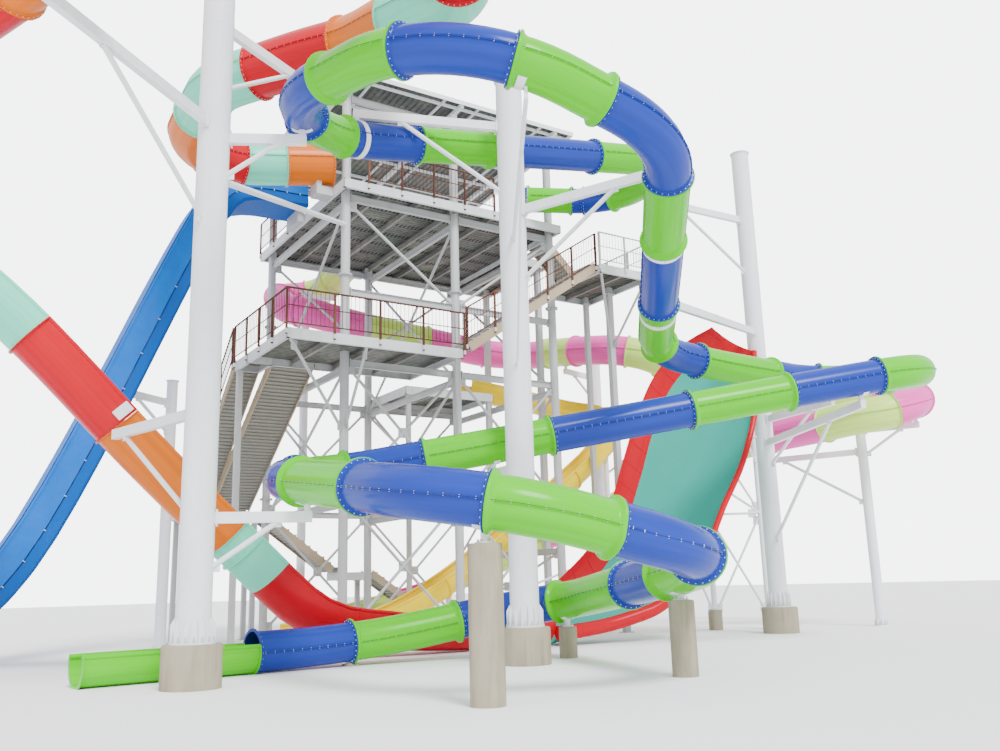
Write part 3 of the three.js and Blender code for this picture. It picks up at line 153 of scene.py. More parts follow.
def noise(tree, place, scale, detail):
    inputs = {"Vector": place, "Scale": scale, "Detail": detail}
    return add_node(tree, "ShaderNodeTexNoise", inputs).outputs["Fac"]


def multiplied(tree, one, other):
    return add_node(tree, "ShaderNodeMath", {0: one, 1: other}, operation="MULTIPLY").outputs[0]


def ranged(tree, value, low, high, to_low=0.0, to_high=1.0):
    limits = {"Value": value, "From Min": low, "From Max": high, "To Min": to_low, "To Max": to_high}
    return add_node(tree, "ShaderNodeMapRange", limits).outputs["Result"]


def object_place(tree):
    return add_node(tree, "ShaderNodeTexCoord").outputs["Object"]


def grime_group():
    """A mask of rain streaks and blotches: 0 is clean, 1 is dirty."""
    tree, given, result = new_group("rain_grime", {"Scale": 1.0, "Amount": 0.5}, "Mask")
    place = object_place(tree)
    tall = add_node(tree, "ShaderNodeMapping", {"Vector": place, "Scale": STREAK_STRETCH}).outputs["Vector"]
    both = multiplied(tree, noise(tree, tall, given["Scale"], 5.0), noise(tree, place, 0.9, 3.0))
    tree.links.new(ranged(tree, both, GRIME_FROM, GRIME_FULL, 0.0, given["Amount"]), result)
    return tree


def moulding_group():
    """Lengthwise ripple of a moulded slide length, from its run: x round the tube, y along it."""
    tree, given, result = new_group("moulding_ripple", {"Across": 1.0, "Along": 1.0}, "Ripple")
    run = add_node(tree, "ShaderNodeAttribute", attribute_name="run").outputs["Vector"]
    parts = add_node(tree, "ShaderNodeSeparateXYZ", {0: run}).outputs
    place = add_node(tree, "ShaderNodeCombineXYZ", {
        "X": multiplied(tree, parts["X"], given["Across"]),
        "Y": multiplied(tree, parts["Y"], given["Along"]),
        "Z": parts["Z"],
    })
    tree.links.new(noise(tree, place.outputs[0], 1.0, 3.0), result)
    return tree


GRIME = grime_group()
MOULDING = moulding_group()


def start_material(name, roughness, metallic=0.0):
    material = bpy.data.materials.new(name)
    material.use_nodes = True
    tree = material.node_tree
    shader = tree.nodes["Principled BSDF"]
    shader.inputs["Roughness"].default_value = roughness
    shader.inputs["Metallic"].default_value = metallic
    shader.inputs["Specular IOR Level"].default_value = SHINE
    return material, tree, shader


def blend_colour(tree, mask, first, second):
    """From the first colour to the second by a mask; a colour is a value or the output of a node."""
    inputs = {"Factor": mask}
    for name, colour in (("A", first), ("B", second)):
        inputs[name] = (*colour, 1.0) if isinstance(colour, tuple) else colour
    return add_node(tree, "ShaderNodeMix", inputs, data_type="RGBA").outputs["Result"]


def add_bump(tree, shader, height, strength, distance):
    bump = add_node(tree, "ShaderNodeBump", {"Height": height, "Strength": strength, "Distance": distance})
    tree.links.new(bump.outputs["Normal"], shader.inputs["Normal"])


def soiled(tree, shader, body, scale, amount, stain):
    """Lays grime over the body colour and gives the result to the shader."""
    grime = add_node(tree, "ShaderNodeGroup", {"Scale": scale, "Amount": amount}, node_tree=GRIME)
    tree.links.new(blend_colour(tree, grime.outputs["Mask"], body, stain), shader.inputs["Base Color"])


def shaded(colour, share):
    return tuple(min(1.0, value * share) for value in colour)


def gelcoat(name, colour, roughness=0.2, dirt=0.07):
    """Glossy moulded slide plastic with a faint lengthwise ripple, drawn as a bump and as painted facet
    shading.
    """
    material, tree, shader = start_material(name, roughness)
    scales = {"Across": RIPPLE_ACROSS, "Along": RIPPLE_ALONG}
    ripple = add_node(tree, "ShaderNodeGroup", scales, node_tree=MOULDING).outputs["Ripple"]
    # The ripple paints the colour lighter and darker along the tube: painted facet shading.
    body = blend_colour(tree, ranged(tree, ripple, 0.35, 0.7), shaded(colour, 0.9), shaded(colour, 1.06))
    soiled(tree, shader, body, 1.3, dirt, tuple(0.85 * value + 0.02 for value in colour))
    add_bump(tree, shader, ripple, 0.16, 0.004)
    return material


def painted_steel(name, colour, roughness=0.38, metallic=0.0, dirt=0.35, stain=(0.42, 0.38, 0.33)):
    """Painted steel with a fine speckle in its colour and gloss."""
    material, tree, shader = start_material(name, roughness, metallic)
    fine = noise(tree, object_place(tree), 14.0, 4.0)
    body = blend_colour(tree, fine, shaded(colour, 0.94), shaded(colour, 1.04))
    soiled(tree, shader, body, 1.6, dirt, stain)
    rough = ranged(tree, fine, 0.0, 1.0, roughness - 0.08, roughness + 0.15)
    tree.links.new(rough, shader.inputs["Roughness"])
    return material


def galvanised_steel(name, colour, dirt=0.3):
    """Zinc-coated steel with crystals of slightly different greys."""
    material, tree, shader = start_material(name, 0.42, 0.45)
    crystals = add_node(tree, "ShaderNodeTexVoronoi", {"Vector": object_place(tree), "Scale": 28.0})
    body = blend_colour(tree, crystals.outputs["Distance"], shaded(colour, 0.86), shaded(colour, 1.1))
    soiled(tree, shader, body, 2.0, dirt, (0.34, 0.31, 0.27))
    return material


def cast_concrete(name, colour):
    """Grey concrete with blotches and pores."""
    material, tree, shader = start_material(name, 0.9)
    coarse = noise(tree, object_place(tree), 2.2, 6.0)
    fine = noise(tree, object_place(tree), 55.0, 2.0)
    body = blend_colour(tree, coarse, shaded(colour, 0.72), shaded(colour, 1.2))
    grained = blend_colour(tree, fine, body, shaded(colour, 0.95))
    soiled(tree, shader, grained, 2.6, 0.6, shaded(colour, 0.5))
    add_bump(tree, shader, fine, 0.5, 0.006)
    return material


def tarp_cloth(name, colour):
    """Coated cloth with soft folds, drawn as a bump and as painted fold shading."""
    material, tree, shader = start_material(name, 0.5)
    folds = noise(tree, object_place(tree), 1.6, 6.0)
    # The folds paint the colour darker and lighter: painted fold shading.
    body = blend_colour(tree, folds, shaded(colour, 0.8), shaded(colour, 1.1))
    tree.links.new(body, shader.inputs["Base Color"])
    add_bump(tree, shader, folds, 0.7, 0.06)
    return material


FINISHES = {
    "lime": gelcoat("lime_gelcoat", (0.085, 0.55, 0.0)),
    "blue": gelcoat("blue_gelcoat", (0.018, 0.045, 0.33)),
    "orange": gelcoat("orange_gelcoat", (0.72, 0.16, 0.006), 0.26),
    "teal": gelcoat("teal_gelcoat", (0.16, 0.74, 0.52), 0.26),
    "red": gelcoat("red_gelcoat", (0.56, 0.003, 0.016), 0.24),
    "pink": gelcoat("pink_gelcoat", (0.86, 0.10, 0.44), 0.28),
    "pale": gelcoat("pale_green_gelcoat", (0.56, 0.80, 0.16), 0.28),
    "yellow": gelcoat("yellow_gelcoat", (0.95, 0.68, 0.0), 0.28),
    "white": painted_steel("white_painted_steel", (0.84, 0.85, 0.89), 0.34, 0.0, 0.12),
    "tower": painted_steel("tower_steel", (0.50, 0.51, 0.52), 0.45, 0.1, 0.4),
    "zinc": galvanised_steel("zinc_steel", (0.46, 0.47, 0.47)),
    # Dark undersides of the deck and roof sheets: painted shade.
    "soffit": galvanised_steel("profiled_sheet", (0.12, 0.13, 0.12), 0.4),
    # Joists under the decks: the tower steel made darker as painted shade.
    "joist": painted_steel("joist_steel", (0.22, 0.22, 0.21), 0.5, 0.1, 0.5),
    "slot": painted_steel("slot_shadow", (0.02, 0.023, 0.02), 0.8, 0.0, 0.1),
    "stair": galvanised_steel("stair_sheet", (0.36, 0.355, 0.32), 0.4),
    "fascia": painted_steel("fascia_steel", (0.66, 0.68, 0.70), 0.4, 0.0, 0.35),
    "rust": painted_steel("rail_post_paint", (0.085, 0.032, 0.024), 0.6, 0.0, 0.5, (0.25, 0.12, 0.06)),
    "bolt": galvanised_steel("bolt_zinc", (0.62, 0.63, 0.65), 0.1),
    "seam": painted_steel("seam_sealant", (0.008, 0.018, 0.02), 0.6, 0.0, 0.1),
    "concrete": cast_concrete("cast_concrete", (0.38, 0.33, 0.245)),
    "tarp": tarp_cloth("azure_tarp", (0.0, 0.14, 0.58)),
    "stringer": painted_steel("stringer_paint", (0.44, 0.345, 0.23), 0.5, 0.0, 0.4),
    # The trough under the cover: a darker azure than the cover, as painted shade.
    "under_tarp": painted_steel("azure_chute", (0.0, 0.085, 0.40), 0.5, 0.0, 0.1, (0.02, 0.1, 0.35)),
    "rope": painted_steel("dark_rope", (0.012, 0.014, 0.02), 0.8, 0.0, 0.2),
    "wall": painted_steel("climbing_wall_skin", (0.03, 0.36, 0.29), 0.55, 0.0, 0.05, (0.06, 0.36, 0.3)),
    "roof": painted_steel("roof_sheet", (0.62, 0.63, 0.64), 0.4, 0.1, 0.4),
}
CAD_SLOTS = {
    "joist": "galvanised", "stringer": "galvanised", "tower": "galvanised", "zinc": "galvanised",
    "stair": "galvanised", "bolt": "galvanised", "soffit": "deck", "slot": "deck", "fascia": "deck",
    "blue": "lime", "pale": "pink", "wall": "teal", "roof": "white", "seam": "white",
    "tarp": "azure", "under_tarp": "azure", "rope": "azure",
}

# How far inside the frame's box a collar starts to be pressed in.
PRESS = 0.03


def pressed_inside(points):
    """Collars beyond the sides of the frame's box are pressed to just inside it, in their order."""
    low, high = np.array(cad_box)
    for axis in (0, 1):
        for limit, way in ((low[axis], -1), (high[axis], 1)):
            beyond = (points[:, axis] - limit) * way + PRESS
            pressed = np.where(beyond > 0, PRESS * (1 - np.exp(-np.maximum(beyond, 0) / PRESS)), beyond)
            points[:, axis] = limit + way * (pressed - PRESS)
    points[:, 2] = points[:, 2].clip(low[2], high[2])
    return points


# Meshes. A piece gathers points and faces, the finish of each face and where each point lies
# along its run: x round the section, y along the length, z the number of the length.
class Piece:
    def __init__(self):
        self.points = []
        self.runs = []
        self.faces = []
        self.finishes = []
        self.count = 0

    def add(self, points, faces, finish, runs=None):
        points = np.asarray(points, float).reshape(-1, 3)
        self.points.append(points)
        self.runs.append(np.zeros_like(points) if runs is None else np.asarray(runs, float).reshape(-1, 3))
        for face in faces:
            self.faces.append([corner + self.count for corner in face])
        self.finishes.extend([finish] * len(faces))
        self.count += len(points)

    def build(self, name, replaced=(), smooth_below=40.0):
        mesh = bpy.data.meshes.new(name)
        points = pressed_inside(np.concatenate(self.points))
        mesh.from_pydata(points.tolist(), [], self.faces)
        run = mesh.attributes.new("run", "FLOAT_VECTOR", "POINT")
        run.data.foreach_set("vector", np.concatenate(self.runs).astype(np.float32).ravel())
        used = list(dict.fromkeys(self.finishes))
        for finish in used:
            mesh.materials.append(FINISHES[finish])
        slots = np.array([used.index(finish) for finish in self.finishes], dtype=np.int32)
        mesh.polygons.foreach_set("material_index", slots)
        mesh.polygons.foreach_set("use_smooth", np.ones(len(self.faces), dtype=bool))
        mesh.set_sharp_from_angle(angle=math.radians(smooth_below))
        mesh.update()
        piece = bpy.data.objects.new(name, mesh)
        bpy.context.scene.collection.objects.link(piece)
        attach(piece, "root")
        counts = {finish: self.finishes.count(finish) for finish in used if finish not in ("bolt", "seam")}
        main = max(counts, key=counts.get)
        CAD_SLOTS.get(main, main)
        if replaced:
            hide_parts(*replaced)
        return piece


def unit(vector):
    vector = np.asarray(vector, float)
    return vector / np.linalg.norm(vector)


def cross_frame(axis):
    """Two directions square to an axis: a level one and the one above it."""
    axis = unit(axis)
    side = np.array([-axis[1], axis[0], 0.0])
    if np.linalg.norm(side) < 1e-6:
        side = np.array([0.0, 1.0, 0.0])
    side = unit(side)
    return side, np.cross(axis, side)


def grid_faces(rows, columns, closed):
    faces = []
    last = columns if closed else columns - 1
    for row in range(rows - 1):
        for column in range(last):
            after = (column + 1) % columns
            faces.append((row * columns + column, row * columns + after,
                          (row + 1) * columns + after, (row + 1) * columns + column))
    return faces


def sweep(piece, centres, sides, ups, section, finish, closed=True, caps=True, lengths=None, number=0.0):
    """A section of (side, up) places carried along a line of stations."""
    section = np.asarray(section, float)
    columns = len(section)
    rows = len(centres)
    points = (centres[:, None, :] + sides[:, None, :] * section[None, :, 0, None]
              + ups[:, None, :] * section[None, :, 1, None])
    around = np.concatenate([[0.0], np.cumsum(np.linalg.norm(np.diff(section, axis=0), axis=1))])
    if lengths is None:
        lengths = np.concatenate([[0.0], np.cumsum(np.linalg.norm(np.diff(centres, axis=0), axis=1))])
    runs = np.zeros((rows, columns, 3))
    runs[:, :, 0] = around[None, :]
    runs[:, :, 1] = lengths[:, None]
    runs[:, :, 2] = number
    faces = grid_faces(rows, columns, closed)
    if caps and closed:
        faces.append(tuple(reversed(range(columns))))
        faces.append(tuple((rows - 1) * columns + column for column in range(columns)))
    piece.add(points, faces, finish, runs)


def pipe(piece, start, end, radius, finish, sides=12, end_radius=None):
    start = np.asarray(start, float)
    end = np.asarray(end, float)
    side, up = cross_frame(end - start)
    angles = np.linspace(0, 2 * math.pi, sides, endpoint=False)
    ring = np.cos(angles)[:, None] * side + np.sin(angles)[:, None] * up
    far = radius if end_radius is None else end_radius
    points = np.concatenate([start + ring * radius, end + ring * far])
    faces = grid_faces(2, sides, True)
    faces.append(tuple(reversed(range(sides))))
    faces.append(tuple(range(sides, 2 * sides)))
    piece.add(points, faces, finish)


def bar(piece, start, end, section, finish):
    """A straight bar between two places; its section has (level, upright) corners."""
    ends = np.array([start, end], float)
    side, up = cross_frame(ends[1] - ends[0])
    sweep(piece, ends, np.array([side, side]), np.array([up, up]), section, finish)


def beam(piece, start, end, width, depth, finish):
    w, d = width / 2, depth / 2
    bar(piece, start, end, [(-w, -d), (w, -d), (w, d), (-w, d)], finish)


def i_beam(piece, start, end, width, depth, finish, flange=0.012, web=0.008):
    w, d, t = width / 2, depth / 2, web / 2
    section = [(-w, -d), (w, -d), (w, flange - d), (t, flange - d), (t, d - flange), (w, d - flange),
               (w, d), (-w, d), (-w, d - flange), (-t, d - flange), (-t, flange - d), (-w, flange - d)]
    bar(piece, start, end, section, finish)


def block(piece, low, high, finish):
    (a, b, c), (x, y, z) = low, high
    points = [(a, b, c), (x, b, c), (x, y, c), (a, y, c), (a, b, z), (x, b, z), (x, y, z), (a, y, z)]
    faces = [(3, 2, 1, 0), (4, 5, 6, 7), (0, 1, 5, 4), (1, 2, 6, 5), (2, 3, 7, 6), (3, 0, 4, 7)]
    piece.add(points, faces, finish)


def square(piece, x, y, half, low, high, finish):
    """An upright block on a square round (x, y), between two heights."""
    block(piece, (x - half, y - half, low), (x + half, y + half, high), finish)


def turned(piece, centre, axis, profile, finish, sides=32, first=0.0, last=360.0):
    """A closed profile of (radius, along) places turned round an axis."""
    centre = np.asarray(centre, float)
    axis = unit(axis)
    side, up = cross_frame(axis)
    whole = last - first >= 360.0
    angles = np.radians(np.linspace(first, last, sides, endpoint=not whole))
    profile = np.asarray(profile, float)
    out = np.cos(angles)[:, None] * side + np.sin(angles)[:, None] * up
    points = centre + out[:, None, :] * profile[None, :, 0, None] + axis * profile[None, :, 1, None]
    count = len(profile)
    faces = grid_faces(len(angles), count, True)
    if whole:
        rows = len(angles)
        for column in range(count):
            after = (column + 1) % count
            faces.append(((rows - 1) * count + column, (rows - 1) * count + after, after, column))
    else:
        faces.append(tuple(reversed(range(count))))
        faces.append(tuple((len(angles) - 1) * count + column for column in range(count)))
    piece.add(points, [tuple(reversed(face)) for face in faces], finish)


SLAB_FACES = [(0, 1, 2, 3), (7, 6, 5, 4), (0, 4, 5, 1), (1, 5, 6, 2), (2, 6, 7, 3), (3, 7, 4, 0)]
HUB = 0.01


def disc(piece, x, y, z, radius, thick, finish, sides=24, hub=HUB):
    """A flat round plate that stands on the height z."""
    profile = [(hub, 0), (radius, 0), (radius, thick), (hub, thick)]
    turned(piece, (x, y, z), (0, 0, 1), profile, finish, sides)


WALL_BAND = (0.006, 0.012, 0.006)
SPLICE_BAND = (0.004, 0.02, 0.012)


def band_ring(piece, centre, axis, radius, size, finish, sides):
    """A low raised band round a pipe; its size is its rise, half its width and half its flat."""
    rise, half, flat = size
    profile = [(radius - HUB, -half), (radius + rise, -flat), (radius + rise, flat), (radius - HUB, half)]
    turned(piece, centre, axis, profile, finish, sides)


def bolt(piece, at, axis, radius, height):
    pipe(piece, at, at + unit(axis) * height, radius, "bolt", 6)


# A slide's route from its marks: round bends in plan and a smooth height along the way.
class Route:
    LONGEST = 0.45
    BEND = math.radians(4.5)
    SHORTEST = 0.2

    def __init__(self, marks):
        self.places = []
        self.lengths = []
        self.at_marks = [0.0]
        self.length = 0.0
        self.step_to(marks[0][0], marks[0][1])
        for index in range(1, len(marks) - 1):
            self.pass_mark(marks[index - 1], marks[index], marks[index + 1])
        self.straight_to(marks[-1][0], marks[-1][1])
        self.at_marks.append(self.length)
        self.heights = [mark[2] for mark in marks]
        for place, length in zip(self.places, self.lengths):
            place[2] = self.height(length)
        self.places = np.array(self.places)
        self.lengths = np.array(self.lengths)

    def step_to(self, x, y):
        if self.places:
            self.length += math.hypot(x - self.places[-1][0], y - self.places[-1][1])
        self.places.append([x, y, 0.0])
        self.lengths.append(self.length)

    def straight_to(self, x, y):
        from_x, from_y = self.places[-1][:2]
        span = math.hypot(x - from_x, y - from_y)
        if span < self.SHORTEST:
            return
        steps = max(1, round(span / self.LONGEST))
        for step in range(1, steps + 1):
            share = step / steps
            self.step_to(from_x + (x - from_x) * share, from_y + (y - from_y) * share)

    def pass_mark(self, before, mark, after):
        corner = np.array(mark[:2], float)
        radius = mark[3]
        back = unit(np.array(before[:2]) - corner)
        ahead = unit(np.array(after[:2]) - corner)
        if radius == 0:
            self.straight_to(*corner)
            self.at_marks.append(self.length)
            return
        turn = math.pi - math.acos(float(np.clip(back @ ahead, -1, 1)))
        centre = corner + unit(back + ahead) * radius / math.cos(turn / 2)
        enter = corner + back * radius * math.tan(turn / 2)
        sense = -math.copysign(1.0, back[0] * ahead[1] - back[1] * ahead[0])
        self.straight_to(*enter)
        steps = max(2, round(turn / self.BEND / 2) * 2)
        first = math.atan2(enter[1] - centre[1], enter[0] - centre[0])
        for step in range(1, steps + 1):
            angle = first + sense * turn * step / steps
            self.step_to(centre[0] + radius * math.cos(angle), centre[1] + radius * math.sin(angle))
            if step == steps // 2:
                self.at_marks.append(self.length)

    def mark_slope(self, index):
        before = max(0, index - 1)
        after = min(len(self.heights) - 1, index + 1)
        return (self.heights[after] - self.heights[before]) / (self.at_marks[after] - self.at_marks[before])

    def height(self, length):
        index = 0
        while index < len(self.at_marks) - 2 and length > self.at_marks[index + 1]:
            index += 1
        span = self.at_marks[index + 1] - self.at_marks[index]
        t = (length - self.at_marks[index]) / span
        rise = self.heights[index + 1] - self.heights[index]
        pull = t * (1 - t) ** 2 * self.mark_slope(index) + t * t * (t - 1) * self.mark_slope(index + 1)
        return self.heights[index] + rise * t * t * (3 - 2 * t) + pull * span

    def length_at(self, place):
        index = min(int(place), len(self.at_marks) - 2)
        share = place - index
        return self.at_marks[index] * (1 - share) + self.at_marks[index + 1] * share

    def point(self, length):
        return np.array([np.interp(length, self.lengths, self.places[:, axis]) for axis in range(3)])

    def spot(self, place):
        return self.point(self.length_at(place))

    def stations(self, first, last):
        """Centres, level sides, ups and lengths between two lengths along the route."""
        inside = self.lengths[(self.lengths > first + 0.05) & (self.lengths < last - 0.05)]
        lengths = np.concatenate([[first], inside, [last]])
        centres = np.array([self.point(length) for length in lengths])
        reach = 0.12
        ahead = np.array([self.point(min(length + reach, self.length)) for length in lengths])
        back = np.array([self.point(max(length - reach, 0.0)) for length in lengths])
        axes = ahead - back
        axes /= np.linalg.norm(axes, axis=1)[:, None]
        sides = np.stack([-axes[:, 1], axes[:, 0], np.zeros(len(axes))], axis=1)
        sides /= np.linalg.norm(sides, axis=1)[:, None]
        return centres, sides, np.cross(axes, sides), lengths, axes


def arc(radius, first, last, count):
    angles = np.radians(np.linspace(first, last, count))
    return np.stack([radius * np.cos(angles), radius * np.sin(angles)], axis=1)


TUBE_SIDES = 28
BITE = 0.004
FLANGE_RISE = 0.062
FLANGE_WIDTH = 0.026
BEAD_RISE = 0.078
BOLT_GAP = 0.11
FLANGE_BOLT = (0.011, 0.012)
SEAM_BOLT_GAP = 0.2
SEAM_BOLT = (0.0085, 0.04)
LENGTH_GAP = 0.002
NUMBER_STEP = 3.7


def bead(piece, centre, inward, radius, finish):
    """The smooth swollen collar at the end of a moulded length."""
    top = radius + BEAD_RISE
    profile = [(radius - BITE, 0.001), (top - 0.02, 0.001), (top - 0.005, 0.008), (top, 0.025),
               (top - 0.003, 0.045), (top - 0.02, 0.062), (radius + 0.02, 0.085),
               (radius + 0.004, 0.12), (radius - BITE, 0.14)]
    turned(piece, centre, inward, profile, finish, TUBE_SIDES)


def flange(piece, centre, inward, radius, finish):
    """The raised ring at the end of a slide length, with its bolts; inward points into the length."""
    top = radius + FLANGE_RISE
    wide = FLANGE_WIDTH
    profile = [(radius - BITE, 0.001), (top - 0.006, 0.001), (top, 0.007), (top, wide - 0.005),
               (top - 0.006, wide), (radius + 0.014, wide + 0.002), (radius + 0.004, wide + 0.012),
               (radius - BITE, wide + 0.03)]
    turned(piece, centre, inward, profile, finish, TUBE_SIDES)
    side, up = cross_frame(inward)
    ring = radius + FLANGE_RISE * 0.58
    count = round(2 * math.pi * ring / BOLT_GAP)
    for index in range(count):
        angle = 2 * math.pi * (index + 0.5) / count
        at = centre + (side * math.cos(angle) + up * math.sin(angle)) * ring
        bolt(piece, at + unit(inward) * FLANGE_WIDTH, inward, *FLANGE_BOLT)


def seam(piece, centres, sides, ups, lengths, radius, hand, finish):
    """The bolted lengthwise joint of the two half shells, on one side."""
    lip = [(radius - 0.006, -0.013), (radius + 0.022, -0.011), (radius + 0.022, 0.011),
           (radius - 0.006, 0.013)]
    gap = [(radius, -0.003), (radius + 0.025, -0.003), (radius + 0.025, 0.003), (radius, 0.003)]
    for section, paint in ((lip, finish), (gap, "seam")):
        placed = [(x * hand, y) for x, y in section]
        sweep(piece, centres, sides, ups, placed if hand > 0 else placed[::-1], paint)
    total = lengths[-1] - lengths[0]
    count = max(1, round(total / SEAM_BOLT_GAP))
    for index in range(count):
        length = lengths[0] + total * (index + 0.5) / count
        row = min(np.searchsorted(lengths, length), len(lengths) - 1)
        share = (length - lengths[row - 1]) / (lengths[row] - lengths[row - 1])
        at = centres[row - 1] * (1 - share) + centres[row] * share
        side = sides[row - 1] * (1 - share) + sides[row] * share
        up = ups[row]
        bolt_radius, bolt_length = SEAM_BOLT
        start = at + side * hand * (radius + 0.012) - up * bolt_length / 2
        pipe(piece, start, start + up * bolt_length, bolt_radius, "bolt", 5)


def tube_length(piece, route, first, last, radius, finish, number):
    """One closed length of slide: outer and inner skin, two flanges and two seams."""
    centres, sides, ups, lengths, axes = route.stations(first, last)
    ring = arc(radius, 90, 450, TUBE_SIDES + 1)[:-1]
    inner = ring * (radius - SHELL) / radius
    sweep(piece, centres, sides, ups, ring, finish, True, False, lengths, number)
    sweep(piece, centres, sides, ups, inner[::-1], finish, True, False, lengths, number)
    collar = bead if finish == "lime" else flange
    collar(piece, centres[0], axes[0], radius, finish)
    collar(piece, centres[-1], -axes[-1], radius, finish)
    for hand in (1.0, -1.0):
        seam(piece, centres, sides, ups, lengths, radius, hand, finish)


def coloured_lengths(route, colours):
    """The start, end, finish and number of each length; the last entry of colours ends the run."""
    for number, ((here, finish), (after, _)) in enumerate(zip(colours[:-1], colours[1:])):
        first = route.length_at(here) + LENGTH_GAP
        last = route.length_at(after) - LENGTH_GAP
        yield first, last, finish, number * NUMBER_STEP


def dress_tube(name, route, colours, radius, replaced):
    """colours lists where each length starts, in marks, and its finish."""
    piece = Piece()
    for first, last, finish, number in coloured_lengths(route, colours):
        tube_length(piece, route, first, last, radius, finish, number)
    return piece.build(name, replaced)


RIM_PIPE = 0.045
TROUGH_THICK = 0.03


def trough_length(piece, route, first, last, radius, rim_angle, finish, number):
    """One open length: a half pipe with rolled rims and a ring at each end."""
    centres, sides, ups, lengths, axes = route.stations(first, last)
    outside = arc(radius, 180 - rim_angle, 360 + rim_angle, 25)
    inside = arc(radius - TROUGH_THICK, 360 + rim_angle, 180 - rim_angle, 25)
    sweep(piece, centres, sides, ups, np.concatenate([outside, inside]), finish, True, True, lengths, number)
    rim = arc(RIM_PIPE, 0, 360, 11)[:-1]
    for hand in (1, -1):
        edge = arc(radius - TROUGH_THICK / 2, rim_angle, rim_angle, 1)[0] * (hand, 1)
        sweep(piece, centres, sides, ups, rim + edge, finish, True, True, lengths, number)
    for centre, axis in ((centres[0], axes[0]), (centres[-1], -axes[-1])):
        profile = [(radius - 0.01, 0.0), (radius + 0.05, 0.0), (radius + 0.05, 0.02), (radius - 0.01, 0.03)]
        start = 180 - rim_angle
        turned(piece, centre, axis, profile, finish, 24, start, start + 180 + 2 * rim_angle)


def dress_trough(piece, route, colours, radius, rim_angle):
    for first, last, finish, number in coloured_lengths(route, colours):
        trough_length(piece, route, first, last, radius, rim_angle, finish, number)


coil = Route(COIL_MARKS)
raft = Route(RAFT_MARKS)
chute = Route(CHUTE_MARKS)
striped = Route(STRIPED_MARKS)
flume = Route(FLUME_MARKS)


def numbered(name, count):
    return [f"{name}_{index}" for index in range(1, count + 1)]


def dress_body_slide():
    colours = [
        (0, "blue"), (0.25, "lime"), (0.66, "blue"), (0.77, "blue"), (1.05, "lime"), (1.6, "lime"),
        (2.265, "blue"), (2.545, "lime"), (2.722, "blue"), (2.88, "lime"), (3.02, "blue"), (3.46, "lime"),
        (3.835, "blue"), (4.25, "lime"), (4.665, "blue"), (5.13, "lime"), (5.385, "blue"), (5.695, "lime"),
        (5.975, "blue"), (6.225, "lime"), (6.68, "blue"), (6.95, "lime"), (7.5, "lime"), (8.12, "blue"),
        (8.265, "lime"), (8.425, "blue"), (8.635, "lime"), (8.82, "blue"), (8.93, "lime"), (9.05, "blue"),
        (9.3, "lime"), (9.67, "blue"), (10.08, "lime"), (10.53, "blue"), (11.01, "lime"), (11.295, "blue"),
        (11.505, "lime"), (11.935, "blue"), (12.44, "lime"), (13.005, "blue"), (13.4, "lime"),
    ]
    dress_tube("body_slide_lengths", coil, colours, COIL_RADIUS, numbered("body_slide", 6))
    runout = Piece()
    dress_trough(runout, coil, [(13.4, "lime"), (14, "lime")], COIL_RADIUS, 20)
    runout.build("body_slide_open_end", ["body_slide_runout"])


CURB_LINE = ((-4.5, 2.9), (-2.7, 1.38), (-1.5, 0.9), (-0.3, 0.48), (1.0, 0.39), (3.8, 0.39))


def channel_length(piece, from_place, to_place, finish):
    """A length of the runout channel: its near side is cut down to a low curb."""
    first = raft.length_at(from_place) + LENGTH_GAP
    last = raft.length_at(to_place) - LENGTH_GAP
    centres, sides, ups, *_ = raft.stations(first, last)
    curb = np.interp(centres[:, 0], *np.array(CURB_LINE).T)
    ring = []
    for centre, side, up, top in zip(centres, sides, ups, curb):
        near = math.degrees(math.asin(np.clip((top - centre[2]) / TROUGH_RADIUS, -0.96, 0.2)))
        first, last = (180 - near, 372) if side[1] < 0 else (168, 360 + near)
        inside = arc(TROUGH_RADIUS - TROUGH_THICK, last, first, 25)
        shape = np.concatenate([arc(TROUGH_RADIUS, first, last, 25), inside])
        ring.append(centre + side * shape[:, :1] + up * shape[:, 1:])
    ring = np.array(ring)
    piece.add(ring, grid_faces(len(ring), 50, True), finish)
    for row in (0, len(ring) - 1):
        ends = grid_faces(2, 25, False)
        piece.add(np.concatenate([ring[row][:25], ring[row][:24:-1]]), ends, finish)
    for edge in (0, 24):
        line = (ring[:, edge] + ring[:, 49 - edge]) / 2
        sweep(piece, line, sides, ups, arc(RIM_PIPE, 0, 360, 9)[:-1], finish)


def dress_raft_slide():
    colours = [
        (0, "orange"), (0.36, "teal"), (0.69, "red"), (0.98, "orange"), (1.59, "teal"), (2.315, "red"),
        (2.935, "orange"), (3.38, "teal"), (4.0, "red"), (4.5, "orange"), (5.0, "teal"), (5.4, "orange"),
        (5.62, "red"), (6.1, "teal"), (6.6, "orange"), (7.1, "red"), (7.6, "teal"), (8.2, "orange"),
        (9, "orange"),
    ]
    dress_tube("raft_slide_lengths", raft, colours, RAFT_RADIUS, numbered("raft_slide", 4))
    open_part = Piece()
    dress_trough(open_part, raft, [
        (9, "teal"), (9.9, "red"), (10.5, "orange"), (10.8, "teal"), (11.215, "red"), (11.735, "orange"),
        (12.795, "teal"), (13.0, "teal"),
    ], TROUGH_RADIUS, 12)
    for first, last, finish in ((13.0, 13.365, "teal"), (13.365, 14.5, "red"), (14.5, 15.7, "red"),
                                (15.7, 17.0, "red")):
        channel_length(open_part, first, last, finish)
    open_part.build("raft_slide_open", ["raft_slide_drop", "raft_slide_channel"])


